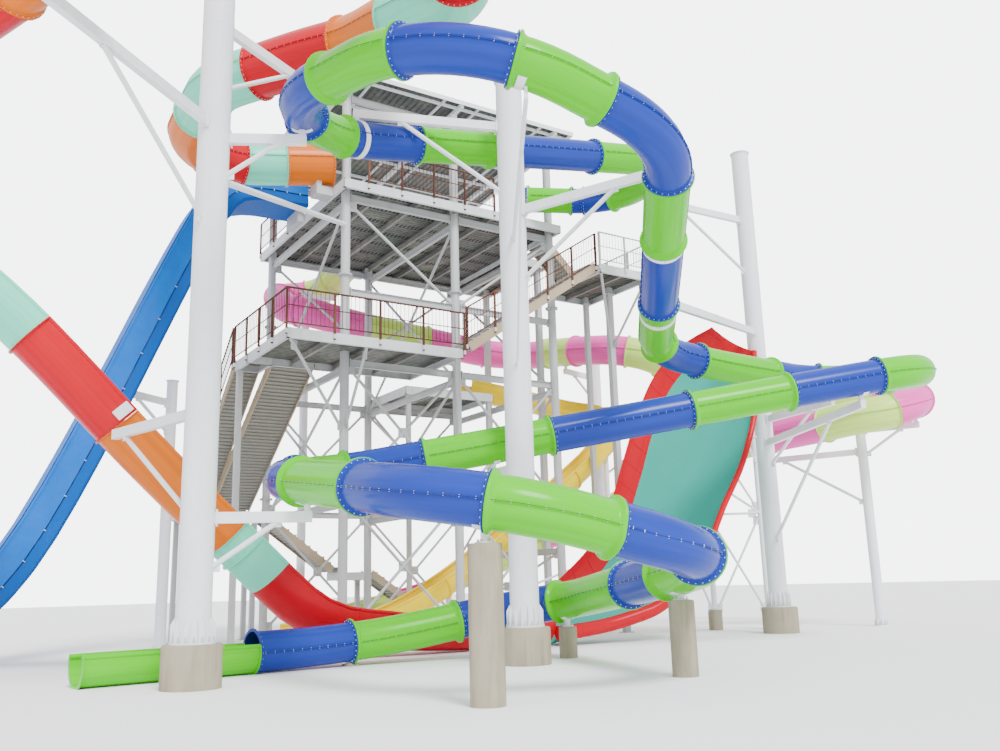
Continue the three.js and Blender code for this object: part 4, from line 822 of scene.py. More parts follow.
def dress_striped_slide():
    colours = [
        (0, "pale"), (0.6, "pale"), (1.2, "pink"), (2.1, "pink"), (3.0, "pink"), (3.3, "pale"),
        (3.6, "pink"), (3.9, "pink"), (4.35, "pale"), (4.6, "pink"), (4.98, "pale"), (5.2, "pink"),
        (5.6, "pale"), (6.1, "pale"), (6.3, "pink"), (6.5, "pale"), (6.75, "pink"), (7.2, "pink"),
        (7.8, "pale"), (8.25, "pink"), (8.6, "pale"), (9.0, "pink"), (9.5, "pale"), (9.9, "pink"),
        (10.4, "pale"), (11, "pale"),
    ]
    dress_tube("striped_slide_lengths", striped, colours, STRIPED_RADIUS, numbered("striped_slide", 4))
    runout = Piece()
    dress_trough(runout, striped, [(11, "pink"), (11.5, "pale"), (12, "pale")], STRIPED_RADIUS, 15)
    runout.build("striped_slide_open_end", ["striped_slide_runout"])


def dress_flume():
    """The open yellow flume, in nine lengths."""
    piece = Piece()
    marks = [0, 0.6, 1.3, 2.0, 2.6, 3.2, 3.8, 4.4, 5.2, 6]
    dress_trough(piece, flume, [(mark, "yellow") for mark in marks], FLUME_RADIUS, 15)
    piece.build("flume_lengths", ["yellow_flume"])


# The climbing wall.
NEAR_RIM = [
    (3.7, 4.0, 0.33), (4.5, 3.95, 0.38), (5.3, 3.85, 0.48), (6.1, 3.6, 0.68), (6.78, 3.37, 0.93),
    (7.87, 2.96, 1.87), (8.77, 2.58, 3.7), (9.34, 2.43, 4.68), (9.76, 2.43, 5.44), (10.29, 2.52, 6.54),
    (10.68, 2.7, 8.45),
]
FAR_RIM = [
    (3.7, 5.4, 0.9), (4.55, 5.4, 1.5), (6.03, 5.3, 2.73), (6.7, 5.21, 3.85), (7.18, 5.17, 5.0),
    (7.77, 4.93, 6.69), (8.39, 4.68, 7.93), (9.22, 4.17, 8.88), (9.8, 3.53, 9.32),
]
WALL_START = 0.003
WALL_THICKNESS = 0.06
WALL_SAG_LOW = 0.4
WALL_SAG_HIGH = 0.22
WALL_FULLNESS = 0.8
WALL_ARC = 1.35
BAND_WIDTH = 0.72
CAP_SHARE = 0.93
RIM_THICK = 0.19
RIM_SLIM = 0.085


class SmoothCurve:
    """A centripetal curve through given places, walked by its length."""

    SAMPLES = 240

    def __init__(self, places):
        places = [np.array(place, float) for place in places]
        spaced = [2 * places[0] - places[1], *places, 2 * places[-1] - places[-2]]
        line = []
        for index in range(len(places) - 1):
            line.extend(self.piece_points(spaced[index:index + 4], index == len(places) - 2))
        self.line = np.array(line)
        steps = np.linalg.norm(np.diff(self.line, axis=0), axis=1)
        self.lengths = np.concatenate([[0.0], np.cumsum(steps)])

    def piece_points(self, four, is_last):
        knots = [0.0]
        for start, end in zip(four[:-1], four[1:]):
            knots.append(knots[-1] + math.sqrt(np.linalg.norm(end - start)))
        count = self.SAMPLES // 8
        points = []
        for t in np.linspace(knots[1], knots[2], count + 1)[:count + (1 if is_last else 0)]:
            first = [self.between(four[k], four[k + 1], knots[k], knots[k + 1], t) for k in range(3)]
            second = [self.between(first[k], first[k + 1], knots[k], knots[k + 2], t) for k in range(2)]
            points.append(self.between(second[0], second[1], knots[1], knots[2], t))
        return points

    @staticmethod
    def between(start, end, from_knot, to_knot, t):
        share = (t - from_knot) / (to_knot - from_knot)
        return start * (1 - share) + end * share

    def at(self, share):
        length = self.lengths[-1] * min(max(share, 0.0), 1.0)
        return np.array([np.interp(length, self.lengths, self.line[:, axis]) for axis in range(3)])

    def heading(self, share):
        return unit(self.at(min(share + 0.01, 1.0)) - self.at(max(share - 0.01, 0.0)))


near_rim = SmoothCurve(NEAR_RIM)
far_rim = SmoothCurve(FAR_RIM)


def wall_row(share, steps, offset):
    """Places across the wall: steps from the near rim (0) to the far edge (1), offset to its back."""
    near = near_rim.at(share)
    across = far_rim.at(share) - near
    along = unit(near_rim.heading(share) + far_rim.heading(share))
    outward = -unit(np.cross(along, across))
    sag = np.linalg.norm(across) * (WALL_SAG_LOW + (WALL_SAG_HIGH - WALL_SAG_LOW) * share)
    steps = np.asarray(steps, float)
    depth = sag * np.sin(np.pi * steps).clip(0) ** WALL_FULLNESS + offset
    return near + across * steps[:, None] + outward * depth[:, None]


def band_step(share):
    """Where the band along the far edge begins, as a step across the wall."""
    return 1 - BAND_WIDTH / (np.linalg.norm(far_rim.at(share) - near_rim.at(share)) * WALL_ARC)


def rim_radius(share):
    """The near rim's radius, which grows slim from a fifth to a half of its length."""
    turn = min(max((share - 0.2) / 0.3, 0.0), 1.0)
    return RIM_THICK + (RIM_SLIM - RIM_THICK) * turn * turn * (3 - 2 * turn)


def shell(piece, shares, steps_at, finish, back, lift=0.0):
    """A closed sheet of wall between two offsets, with its four edges."""
    front = np.array([wall_row(share, steps_at(share), -lift) for share in shares])
    rear = np.array([wall_row(share, steps_at(share), back) for share in shares])
    rows, columns = front.shape[:2]
    runs = np.zeros((rows, columns, 3))
    runs[:, :, 0] = np.linspace(0, 4, columns)[None, :]
    runs[:, :, 1] = (np.array(shares) * 12)[:, None]
    faces = grid_faces(rows, columns, False)
    piece.add(front, faces, finish, runs)
    piece.add(rear, [tuple(reversed(face)) for face in faces], finish, runs)
    for column in (0, columns - 1):
        edge = np.stack([front[:, column], rear[:, column]], axis=1)
        piece.add(edge, grid_faces(rows, 2, False), finish)
    for row in (0, rows - 1):
        edge = np.stack([front[row], rear[row]], axis=1)
        piece.add(edge, grid_faces(columns, 2, False), finish)


def dress_climbing_wall():
    """The wall's skin, the red band and cap at its far edge with their folds, and its round near rim."""
    skin = Piece()
    shares = np.linspace(WALL_START, CAP_SHARE - 0.001, 61)
    shell(skin, shares, lambda share: np.linspace(0, band_step(share) - 0.001, 29), "wall", WALL_THICKNESS)
    skin.build("climbing_wall_skin", ["climbing_wall"])
    edge = Piece()
    band = np.linspace(WALL_START, 1.0, 65)
    shell(edge, band, lambda share: np.linspace(band_step(share), 1, 9), "red", WALL_THICKNESS)
    cap = np.linspace(CAP_SHARE, 1.0, 8)
    shell(edge, cap, lambda share: np.linspace(0, band_step(share), 25), "red", WALL_THICKNESS)
    for share in np.linspace(0.06, 0.985, 17):
        fold = (share, share + 0.004)
        steps = np.linspace(band_step(share), 0.995, 9)
        shell(edge, fold, lambda unused, steps=steps: steps, "red", 0.0, 0.012)
    line_shares = np.linspace(WALL_START, 1.0, 90)
    line = np.array([near_rim.at(share) for share in line_shares])
    axes = np.array([near_rim.heading(share) for share in line_shares])
    sides = np.stack([-axes[:, 1], axes[:, 0], np.zeros(len(axes))], axis=1)
    sides /= np.linalg.norm(sides, axis=1)[:, None]
    ups = np.cross(axes, sides)
    ring = arc(1.0, 0, 360, 25)[:-1]
    radii = np.array([rim_radius(share) for share in line_shares])[:, None, None]
    rings = sides[:, None, :] * ring[None, :, :1] + ups[:, None, :] * ring[None, :, 1:]
    points = line[:, None, :] + radii * rings
    faces = grid_faces(len(line), 24, True)
    faces.append(tuple(reversed(range(24))))
    faces.append(tuple(range((len(line) - 1) * 24, len(line) * 24)))
    edge.add(points, faces, "red")
    for index in range(5, 88, 7):
        band_ring(edge, line[index], axes[index], rim_radius(line_shares[index]), WALL_BAND, "red", 24)
    edge.build("climbing_wall_edge", ["climbing_wall_rim"])


WALL_POST_RADIUS = 0.09
WALL_POST_FOOT = 0.64
WALL_POSTS = {"near": (11.5, 6.0, 7.0), "right": (12.9, 5.0, 7.0), "far": (10.15, 6.3, 3.9)}


def stringer_place(share):
    return wall_row(share, [0.0], rim_radius(share) + 0.03)[0]


def dress_wall_frame():
    """The posts, braces and curved stringer that hold the wall."""
    piece = Piece()
    for x, y, top in WALL_POSTS.values():
        pedestal(piece, x, y, 0.225, WALL_POST_FOOT, 18)
        pipe(piece, (x, y, 0.66), (x, y, top), WALL_POST_RADIUS, "white", 24)
        disc(piece, x, y, WALL_POST_FOOT, 0.19, 0.025, "white")
        disc(piece, x, y, top - 0.02, 0.12, 0.02, "white")
    for one, other, low, high in WALL_TIES:
        (ax, ay, _), (bx, by, _) = WALL_POSTS[one], WALL_POSTS[other]
        brace(piece, (ax, ay, low), (bx, by, high), 0.04, "white")
    shares = np.linspace(0.3, 0.97, 28)
    line = [stringer_place(share) for share in shares]
    for start, end in zip(line[:-1], line[1:]):
        pipe(piece, start, end, 0.05, "zinc", 14)
    pipe(piece, line[0] * (1, 1, 0), line[0], 0.04, "white", 14)
    square(piece, line[0][0], line[0][1], 0.09, 0, 0.09, "white")
    for name, height, share, step in WALL_HOLDS:
        x, y, _ = WALL_POSTS[name]
        target = stringer_place(share) if step == 0 else wall_row(share, [step], WALL_THICKNESS)[0]
        pipe(piece, (x, y, height), target, 0.04, "white", 12)
    piece.build("climbing_wall_steel", ["climbing_wall_frame"])


# Each tie runs between two posts; each hold runs from a post to a place on the wall.
WALL_TIES = (
    ("near", "right", 0.45, 3.7), ("near", "right", 3.7, 0.45), ("near", "right", 3.7, 3.7),
    ("near", "right", 3.7, 6.8), ("near", "right", 6.8, 3.7), ("near", "right", 6.8, 6.8),
    ("near", "far", 0.45, 3.7), ("near", "far", 3.7, 0.45), ("near", "far", 3.7, 3.7),
)
WALL_HOLDS = (
    ("right", 3.7, 0.6, 0), ("right", 5.4, 0.74, 0), ("near", 5.3, 0.62, 0.5), ("near", 6.85, 0.8, 0.5),
    ("far", 3.8, 0.5, 0.5),
)


def pedestal(piece, x, y, radius, height, ribs):
    """A round concrete foot with the upright marks of its narrow form boards."""
    angles = np.linspace(0, 2 * math.pi, ribs * 2, endpoint=False)
    radii = np.where(np.arange(ribs * 2) % 2 == 0, radius, radius * 0.975)
    ring = np.stack([radii * np.cos(angles), radii * np.sin(angles)], axis=1)
    rows = []
    for z, share in ((0.0, 1.0), (height - 0.03, 1.0), (height, 0.95)):
        rows.append(np.column_stack([x + ring[:, 0] * share, y + ring[:, 1] * share, np.full(len(ring), z)]))
    count = len(ring)
    faces = grid_faces(3, count, True)
    faces.append(tuple(range(2 * count, 3 * count)))
    faces.append(tuple(reversed(range(count))))
    piece.add(np.array(rows), faces, "concrete")


GUSSET_AT = 0.27
GUSSET_HALF = 0.13
GUSSET_SIZE = (0.016, 0.28)


def brace(piece, start, end, radius=0.045, finish="tower"):
    """A round bar with a flat gusset near each end."""
    start = np.asarray(start, float)
    end = np.asarray(end, float)
    way = unit(end - start)
    level = unit(way * (1, 1, 0))
    pipe(piece, start, end, radius, finish, 12)
    for middle in (start + way * GUSSET_AT, end - way * GUSSET_AT):
        beam(piece, middle - level * GUSSET_HALF, middle + level * GUSSET_HALF, *GUSSET_SIZE, finish)


dress_body_slide()
dress_raft_slide()
dress_striped_slide()
dress_flume()
dress_climbing_wall()
dress_wall_frame()


# Masts.
FOOT_PLATE = 0.035
PLATE_REACH = 1.32
FIN_HALF = 0.006
FIN_SLOPE = 0.7
ANCHOR_BOLT = (0.014, 0.09)
ANCHOR_NUT = (0.028, 0.03)


def fins(piece, x, y, foot, radius, count, height):
    """Upright plates round a mast's base, with anchor bolts between them."""
    plate = radius * PLATE_REACH
    disc(piece, x, y, foot, plate, FOOT_PLATE, "white", 32, hub=0.02)
    base = np.array([x, y, foot + FOOT_PLATE])
    for index in range(count):
        angle = 2 * math.pi * index / count
        out = np.array([math.cos(angle), math.sin(angle), 0.0])
        side = np.array([-out[1], out[0], 0.0]) * FIN_HALF
        rim = base + out * plate * 0.96
        corners = [base + out * radius * 0.97, rim, rim + (0, 0, height * FIN_SLOPE),
                   base + out * (radius + 0.01) + (0, 0, height)]
        points = [corner + side for corner in corners] + [corner - side for corner in corners]
        piece.add(points, SLAB_FACES, "white")
        between = angle + math.pi / count
        at = base + np.array([math.cos(between), math.sin(between), 0.0]) * (radius + plate) * 0.52
        for bolt_radius, length in (ANCHOR_BOLT, ANCHOR_NUT):
            pipe(piece, at, at + (0, 0, length), bolt_radius, "bolt", 6)


def saddle(piece, route, place, radius, hangs):
    """A narrow curved plate under a slide, or the whole strap of a slide that hangs."""
    length = route.length_at(place)
    centres, sides, ups, _, _ = route.stations(max(length - 0.07, 0), min(length + 0.07, route.length))
    first, last = (-90, 269) if hangs else (242, 298)
    outer = arc(radius + 0.016, first, last, 40 if hangs else 13)
    inner = arc(radius + 0.002, last, first, 40 if hangs else 13)
    sweep(piece, centres, sides, ups, np.concatenate([outer, inner]), "white")


ARM_DEPTH = 0.2
ARM_WIDTH = 0.13
ARM_PAST_SEAT = 0.09
ARM_PLATE = (0.2, 0.3)
SEAT_POST = 0.06
KNEE_RADIUS = 0.05
KNEE_REACH = 0.72
KNEE_SLOPE = 0.45
SHORT_ARM = 1.5


def rim_seat(piece, place, mast):
    """The plate that takes an arm on the near side of the steep open length."""
    length = raft.length_at(place)
    centres, sides, ups, _, _ = raft.stations(length - 0.08, length + 0.08)
    near = 180 if (mast - centres[0]) @ sides[0] < 0 else 0
    first, last = (near - 10, near + 20) if near else (near + 10, near - 20)
    outer = arc(TROUGH_RADIUS + 0.03, first, last, 12)
    inner = arc(TROUGH_RADIUS + 0.002, last, first, 12)
    sweep(piece, centres, sides, ups, np.concatenate([outer, inner]), "white")


def mast_arm(piece, x, y, mast_radius, route, place, radius, level=None, root_level=None, size=1.0):
    """A level or sloped box beam from a mast to a seat under a slide, with a knee brace."""
    seat = route.spot(place)
    z = seat[2] - radius - ARM_DEPTH * 1.1 if level is None else level
    tip = np.array([seat[0], seat[1], z])
    centre = np.array([x, y, z if root_level is None else root_level])
    out = unit(tip - centre)
    reach = np.linalg.norm(tip - centre)
    root = centre + out * mast_radius * 0.96
    open_length = radius == TROUGH_RADIUS
    end = tip + out * (-radius if open_length else ARM_PAST_SEAT)
    beam(piece, root, end, ARM_WIDTH * size, ARM_DEPTH * size, "white")
    beam(piece, root + out * 0.03, root + out * 0.05, ARM_PLATE[0] * size, ARM_PLATE[1] * size, "white")
    slide_edge = seat[2] - radius if level is None else seat[2] + radius
    low, high = sorted((z, slide_edge))
    if open_length:
        rim_seat(piece, place + 0.1, centre)
    else:
        pipe(piece, (*seat[:2], low), (*seat[:2], high), SEAT_POST * size, "white", 16)
        saddle(piece, route, place, radius, level is not None)
    if reach > SHORT_ARM and root_level is None:
        knee = centre + out * reach * KNEE_REACH - (0, 0, ARM_DEPTH * 0.45)
        foot = np.array([x, y, z - reach * KNEE_SLOPE]) + out * mast_radius * 0.9
        pipe(piece, foot, knee, KNEE_RADIUS * size, "white", 16)
        for at in (foot + out * 0.06, knee):
            beam(piece, at - out * 0.08, at + out * 0.08, 0.014, 0.18 * size, "white")


SPLICE_EVERY = 6.0
THICK_MAST = 0.25
THICK_FINS = (16, 0.42)
THIN_FINS = (8, 0.2)


def dress_mast(letter, arms, extras=None):
    """A mast on its foot; an arm gives its slide, the place there, and at will its levels and size."""
    x, y, top, radius, foot = MASTS[letter]
    piece = Piece()
    sides = 48 if radius > 0.2 else 28
    disc(piece, x, y, foot, radius, top - foot, "white", sides)
    splice = foot + SPLICE_EVERY
    while splice < top - 1.0:
        band_ring(piece, (x, y, splice), (0, 0, 1), radius, SPLICE_BAND, "white", sides)
        splice += SPLICE_EVERY
    disc(piece, x, y, top - 0.02, radius + 0.035, 0.02, "white", sides)
    fins(piece, x, y, foot, radius, *(THICK_FINS if radius > THICK_MAST else THIN_FINS))
    for kind, place, *level in arms:
        route, slide_radius = KINDS[kind]
        mast_arm(piece, x, y, radius, route, place, slide_radius, *level)
    if extras:
        extras(piece)
    piece.build(f"mast_{letter}_steel", [f"mast_{letter}"])
    if foot > 0:
        base = Piece()
        pedestal(base, x, y, PEDESTAL_RADIUS, foot, 30)
        base.build(f"mast_{letter}_foot", [f"mast_{letter}_pedestal"])


KINDS = {
    "coil": (coil, COIL_RADIUS),
    "raft": (raft, RAFT_RADIUS),
    "trough": (raft, TROUGH_RADIUS),
    "striped": (striped, STRIPED_RADIUS),
    "flume": (flume, FLUME_RADIUS),
    "chute": (chute, CHUTE_HALF[1]),
}


def tie_to_tower(piece):
    """The long tie from mast A to the tower's near corner."""
    x, y, *_ = MASTS["a"]
    pipe(piece, (x, y, 9.5), (COLUMN_X[0] - 0.1, FRONT_ROW - 0.1, 12.07), 0.07, "white", 20)


def wall_struts(piece):
    """Two short struts from mast C to the back of the wall."""
    x, y, *_ = MASTS["c"]
    for share in (0.9, 0.76):
        seat = wall_row(share, [0.3], WALL_THICKNESS)[0]
        pipe(piece, (x, y, seat[2] - 0.25), seat, 0.06, "white", 16)


dress_mast("a", [("coil", 3.1), ("coil", 9.35), ("raft", 2.7), ("raft", 5.45), ("trough", 11.6)],
           tie_to_tower)
dress_mast("b", [("coil", 2.5), ("coil", 2.85, 12.0), ("coil", 4.3, None, None, 0.5), ("coil", 5.4, 9.9),
                 ("coil", 8.72)])
dress_mast("c", [("coil", 1.6), ("coil", 5.75, 8.0, 9.2), ("coil", 7.0), ("coil", 8.15)], wall_struts)
dress_mast("d", [("striped", 7.3), ("striped", 8.7)])
dress_mast("e", [("chute", 2.5)])
dress_mast("f", [("raft", 6.5), ("raft", 7.5), ("raft", 8.5)])
dress_mast("g", [("striped", 0.6), ("striped", 1.6), ("striped", 3.2)])
dress_mast("h", [("striped", 4.5), ("striped", 5.6), ("striped", 9.6)])

# The tower's steelwork.
BEAM_WIDTH = 0.12
BEAM_DEPTH = 0.2
LEVELS = (4.1, 7.92, 10.05, 12.97)
SIDE_LEVELS = (3.9, 7.72, 12.77)
FLUME_BEAM = 2.6
SPLICES = (4.6, 10.55)
SPLICE_RISE = 0.075
SPLICE_THICK = 0.022
SPLICE_LIFTS = (-0.024, 0.002)
SPLICE_BOLT_RING = 0.18
COLUMN_SIDES = 28
BASE_HALF = 0.21
BASE_THICK = 0.03
BASE_BOLT = 0.16


def column(piece, x, y, top):
    """A round column on a bolted base plate, with a pair of bolted rings at each splice."""
    pipe(piece, (x, y, BASE_THICK), (x, y, top), COLUMN_RADIUS, "tower", COLUMN_SIDES)
    square(piece, x, y, BASE_HALF, 0, BASE_THICK, "tower")
    for right, away in ((-1, -1), (1, -1), (1, 1), (-1, 1)):
        foot = np.array([x + right * BASE_BOLT, y + away * BASE_BOLT, BASE_THICK])
        pipe(piece, foot, foot + (0, 0, 0.05), 0.016, "bolt", 6)
    near, far = COLUMN_RADIUS - HUB, COLUMN_RADIUS + SPLICE_RISE
    ring = [(near, 0), (far, 0), (far, SPLICE_THICK), (near, SPLICE_THICK)]
    for splice in SPLICES:
        for lift in SPLICE_LIFTS:
            turned(piece, (x, y, splice + lift), (0, 0, 1), ring, "tower", COLUMN_SIDES)
        for index in range(8):
            angle = math.pi * (index + 0.5) / 4
            out = np.array([math.cos(angle), math.sin(angle), 0.0])
            at = np.array([x, y, splice - 0.05]) + out * SPLICE_BOLT_RING
            pipe(piece, at, at + (0, 0, 0.1), 0.013, "bolt", 6)


def bay_beam(piece, start, end):
    """A rolled beam between two columns, with a bolted plate at each end."""
    start = np.asarray(start, float)
    end = np.asarray(end, float)
    way = unit(end - start)
    first = start + way * (COLUMN_RADIUS + 0.01)
    last = end - way * (COLUMN_RADIUS + 0.01)
    i_beam(piece, first, last, BEAM_WIDTH, BEAM_DEPTH, "tower")
    for at in (first, last):
        beam(piece, at - way * 0.012, at + way * 0.012, 0.18, 0.27, "tower")


def crossed(piece, one, other, low, high):
    """Two crossed braces between two columns, with a plate where they meet."""
    brace(piece, (*one, low), (*other, high))
    brace(piece, (*one, high), (*other, low))
    middle = (np.array([*one, low]) + np.array([*other, high])) / 2
    level = unit(np.array([other[0] - one[0], other[1] - one[1], 0.0]))
    beam(piece, middle - level * 0.15, middle + level * 0.15, 0.018, 0.3, "tower")


def long_frame(node, row, top):
    """A long row of columns with its beams and braces."""
    piece = Piece()
    bays = list(zip(COLUMN_X[:-1], COLUMN_X[1:]))
    for x in COLUMN_X:
        column(piece, x, row, top)
    for left, right in bays:
        for level in (*LEVELS, top - BEAM_DEPTH / 2):
            bay_beam(piece, (left, row, level), (right, row, level))
        crossed(piece, (left, row), (right, row), 0.3, LEVELS[0])
        crossed(piece, (left, row), (right, row), LEVELS[0], LEVELS[1])
    for outer in (COLUMN_X[0], COLUMN_X[2]):
        brace(piece, (outer, row, LEVELS[3] - 0.1), (COLUMN_X[1], row, LEVELS[2]))
    piece.build(f"{node}_steel", [node])


def side_frame(node, x, levels, crosses, singles):
    """The beams and braces between the two rows at one x."""
    piece = Piece()
    front, back = (x, FRONT_ROW), (x, BACK_ROW)
    for level in levels:
        bay_beam(piece, (*front, level), (*back, level))
    for low, high in crosses:
        crossed(piece, front, back, low, high)
    for at_front, at_back in singles:
        brace(piece, (*front, at_front), (*back, at_back))
    piece.build(f"{node}_steel", [node])


CHANNEL_SIZE = (0.012, 0.09)


def channel(piece, start, end, depth, finish):
    """An edge beam whose outer face lies on the line from start to end, anticlockwise round a deck."""
    half, thick, reach = depth / 2, *CHANNEL_SIZE
    section = [(0, -half), (reach, -half), (reach, thick - half), (thick, thick - half),
               (thick, half - thick), (reach, half - thick), (reach, half), (0, half)]
    bar(piece, start, end, section, finish)


RIB_PITCH = 0.16
RIB_DEPTH = 0.06
SLOT_SIZE = (0.05, 0.24)
SLOT_PITCH = 0.14
SLOT_ROW = 0.95


def profiled_sheet(piece, low, high, top, finish, slots=False):
    """A ribbed sheet under a deck's top plate, its ribs along X, with rows of short slots of painted shadow.
    """
    skin = top - 0.022
    block(piece, (*low, skin), (*high, top), "tower")
    count = round((high[1] - low[1]) / RIB_PITCH)
    pitch = (high[1] - low[1]) / count
    base = top - RIB_DEPTH
    for index in range(count):
        y = low[1] + pitch * index
        section = [(y, skin), (y + 0.022, base), (y + pitch - 0.05, base), (y + pitch - 0.028, skin)]
        points = [(x, *place) for x in (low[0], high[0]) for place in section]
        piece.add(points, [(0, 4, 5, 1), (1, 5, 6, 2), (2, 6, 7, 3), (3, 2, 1, 0), (4, 5, 6, 7)], finish)
    if slots:
        for y in np.arange(low[1] + 0.4, high[1] - 0.3, SLOT_ROW):
            for x in np.arange(low[0] + 0.1, high[0] - 0.1, SLOT_PITCH):
                block(piece, (x, y, base - 0.003), (x + SLOT_SIZE[0], y + SLOT_SIZE[1], base + 0.002), "slot")


JOIST_GAP = 1.25
JOIST_SIZE = (0.09, 0.16)
JOIST_DROP = 0.145
SHEET_INSET = 0.013


def deck_plate(piece, low, high, top, slots=False):
    """A ribbed sheet in a frame of edge channels, on joists."""
    corners = [(low[0], low[1]), (high[0], low[1]), (high[0], high[1]), (low[0], high[1])]
    middle = top - DECK_DEPTH / 2
    for one, other in zip(corners, corners[1:] + corners[:1]):
        channel(piece, (*one, middle), (*other, middle), DECK_DEPTH, "fascia")
    inside = np.array(low) + SHEET_INSET, np.array(high) - SHEET_INSET
    # The ribs take the dark underside finish: painted shade under the deck.
    profiled_sheet(piece, *inside, top - 0.002, "soffit", slots)
    joists = max(1, round((high[0] - low[0]) / JOIST_GAP))
    for index in range(1, joists):
        x = low[0] + (high[0] - low[0]) * index / joists
        ends = (x, low[1] + 0.02, top - JOIST_DROP), (x, high[1] - 0.02, top - JOIST_DROP)
        i_beam(piece, *ends, *JOIST_SIZE, "joist")


def deck_post(piece, x, y, top, width=0.16):
    """A square post with a base plate and a collar near its head."""
    half = width / 2
    square(piece, x, y, half, 0, top, "tower")
    square(piece, x, y, half * 1.8, 0, 0.025, "tower")
    square(piece, x, y, half * 1.5, top - 0.24, top - 0.22, "tower")


# The blocks that carry the slides' starts at the edges of the upper deck.
SLIDE_SEATS = (
    ((5.08, 7.12, UPPER_DECK_Z - 0.01), (5.28, 7.32, 13.66)),
    ((-1.6, 7.9, 13.07), (-1.45, 8.4, 13.48)),
    ((-1.449, 7.902, 13.072), (-1.09, 8.398, 13.33)),
    ((-1.3, 10.25, 13.07), (-1.09, 11.25, 13.48)),
    ((2.3, 14.51, 13.07), (2.9, 14.72, 13.4)),
)


def dress_decks():
    lower = Piece()
    deck_plate(lower, (-3.1, 6.0), (2.2, 9.3), LOWER_DECK_Z)
    deck_plate(lower, (-3.1, 9.2), (-2.35, 10.4), LOWER_DECK_Z)
    deck_post(lower, -2.98, 10.28, LOWER_DECK_Z - DECK_PLATE)
    for x in (-3.0, -0.8, 2.0):
        head = (x, 6.08, LOWER_DECK_Z - 0.24)
        foot = (COLUMN_X[0] if x < 0 else COLUMN_X[1], FRONT_ROW, LOWER_DECK_Z - 2.4)
        brace(lower, head, foot)
    lower.build("lower_deck_steel", ["lower_deck"])
    upper = Piece()
    deck_plate(upper, (-1.08, 7.1), (6.75, 14.5), UPPER_DECK_Z, True)
    deck_plate(upper, (6.66, 10.3), (8.5, 14.5), UPPER_DECK_Z, True)
    deck_post(upper, 8.2, 10.6, UPPER_DECK_Z - DECK_PLATE, 0.2)
    deck_post(upper, 8.2, 14.2, UPPER_DECK_Z - DECK_PLATE, 0.2)
    for low, high in SLIDE_SEATS:
        block(upper, low, high, "tower")
    upper.build("upper_deck_steel", ["upper_deck"])
    start = Piece()
    deck_plate(start, (3.0, 11.2), (6.5, 14.05), LOWER_DECK_Z)
    deck_post(start, 3.14, 11.3, LOWER_DECK_Z - DECK_PLATE, 0.14)
    deck_post(start, 6.35, 11.3, LOWER_DECK_Z - DECK_PLATE, 0.14)
    block(start, (6.38, 12.65, LOWER_DECK_Z - 0.01), (6.48, 13.15, 8.42), "tower")
    start.build("flume_deck_steel", ["flume_deck"])
    landing = Piece()
    deck_plate(landing, (7.3, 5.8), (9.4, 9.1), LANDING_Z)
    deck_post(landing, 9.1, 7.6, LANDING_Z - DECK_PLATE, 0.2)
    deck_post(landing, 9.1, 8.9, LANDING_Z - DECK_PLATE)
    for x in (7.4, 9.3):
        brace(landing, (x, 5.9, LANDING_Z - 0.24), (9.1, 7.6, LANDING_Z - 2.3))
    landing.build("stair_landing_steel", ["stair_landing"])
    middle = Piece()
    deck_plate(middle, (-3.25, 15.3), (-0.5, 16.5), MID_Z)
    for x in (-3.1, -0.7):
        for y in (15.45, 16.35):
            deck_post(middle, x, y, MID_Z - DECK_PLATE)
    middle.build("left_landing_steel", ["left_landing"])


RISER = 0.19
STRINGER_DEPTH = 0.24
STEP_SHARE = 0.97
TREAD_THICK = 0.03
SHEET_THICK = 0.008
UNDER_RIB_PITCH = 0.15
UNDER_RIB = (0.07, 0.022)
STRINGER_PLATE = (0.012, 0.27)
STRINGER_LIP = (0.05, 0.01)


def flight(piece, foot, head, width):
    """Folded steps between two channel stringers, with a ribbed sheet below."""
    foot = np.asarray(foot, float)
    head = np.asarray(head, float)
    run = head - foot
    along = unit(run * (1, 1, 0))
    across = np.array([-along[1], along[0], 0.0]) * width / 2
    inside = across * STEP_SHARE
    risers = round(run[2] / RISER)
    going = np.linalg.norm(run[:2]) / risers
    rise = run[2] / risers
    for step in range(risers):
        nosing = foot + along * going * (step + 0.5) + (0, 0, rise * (step + 1) - TREAD_THICK / 2)
        beam(piece, nosing - inside, nosing + inside, going + 0.02, TREAD_THICK, "tower")
        face = foot + along * (going * step + 0.006) + (0, 0, rise * (step + 0.5))
        beam(piece, face - inside, face + inside, SHEET_THICK, rise, "stair")
    drop = np.array([0.0, 0.0, STRINGER_DEPTH * 0.55])
    low = foot + along * going * 0.8 + (0, 0, 0.02)
    high = head - drop + (0, 0, 0.02)
    beam(piece, low, high, width * STEP_SHARE, SHEET_THICK, "stair")
    count = round(np.linalg.norm(high - low) / UNDER_RIB_PITCH)
    for index in range(count):
        at = low + (high - low) * (index + 0.5) / count - (0, 0, 0.015)
        beam(piece, at - across * 0.96, at + across * 0.96, *UNDER_RIB, "stair")
    for hand in (-1, 1):
        edge = across * hand * 0.985
        beam(piece, low + edge + (0, 0, 0.07), high + edge + (0, 0, 0.07), *STRINGER_PLATE, "stringer")
        for lift in (-0.09, 0.19):
            lip = edge * STEP_SHARE
            beam(piece, low + lip + (0, 0, lift), high + lip + (0, 0, lift), *STRINGER_LIP, "stringer")


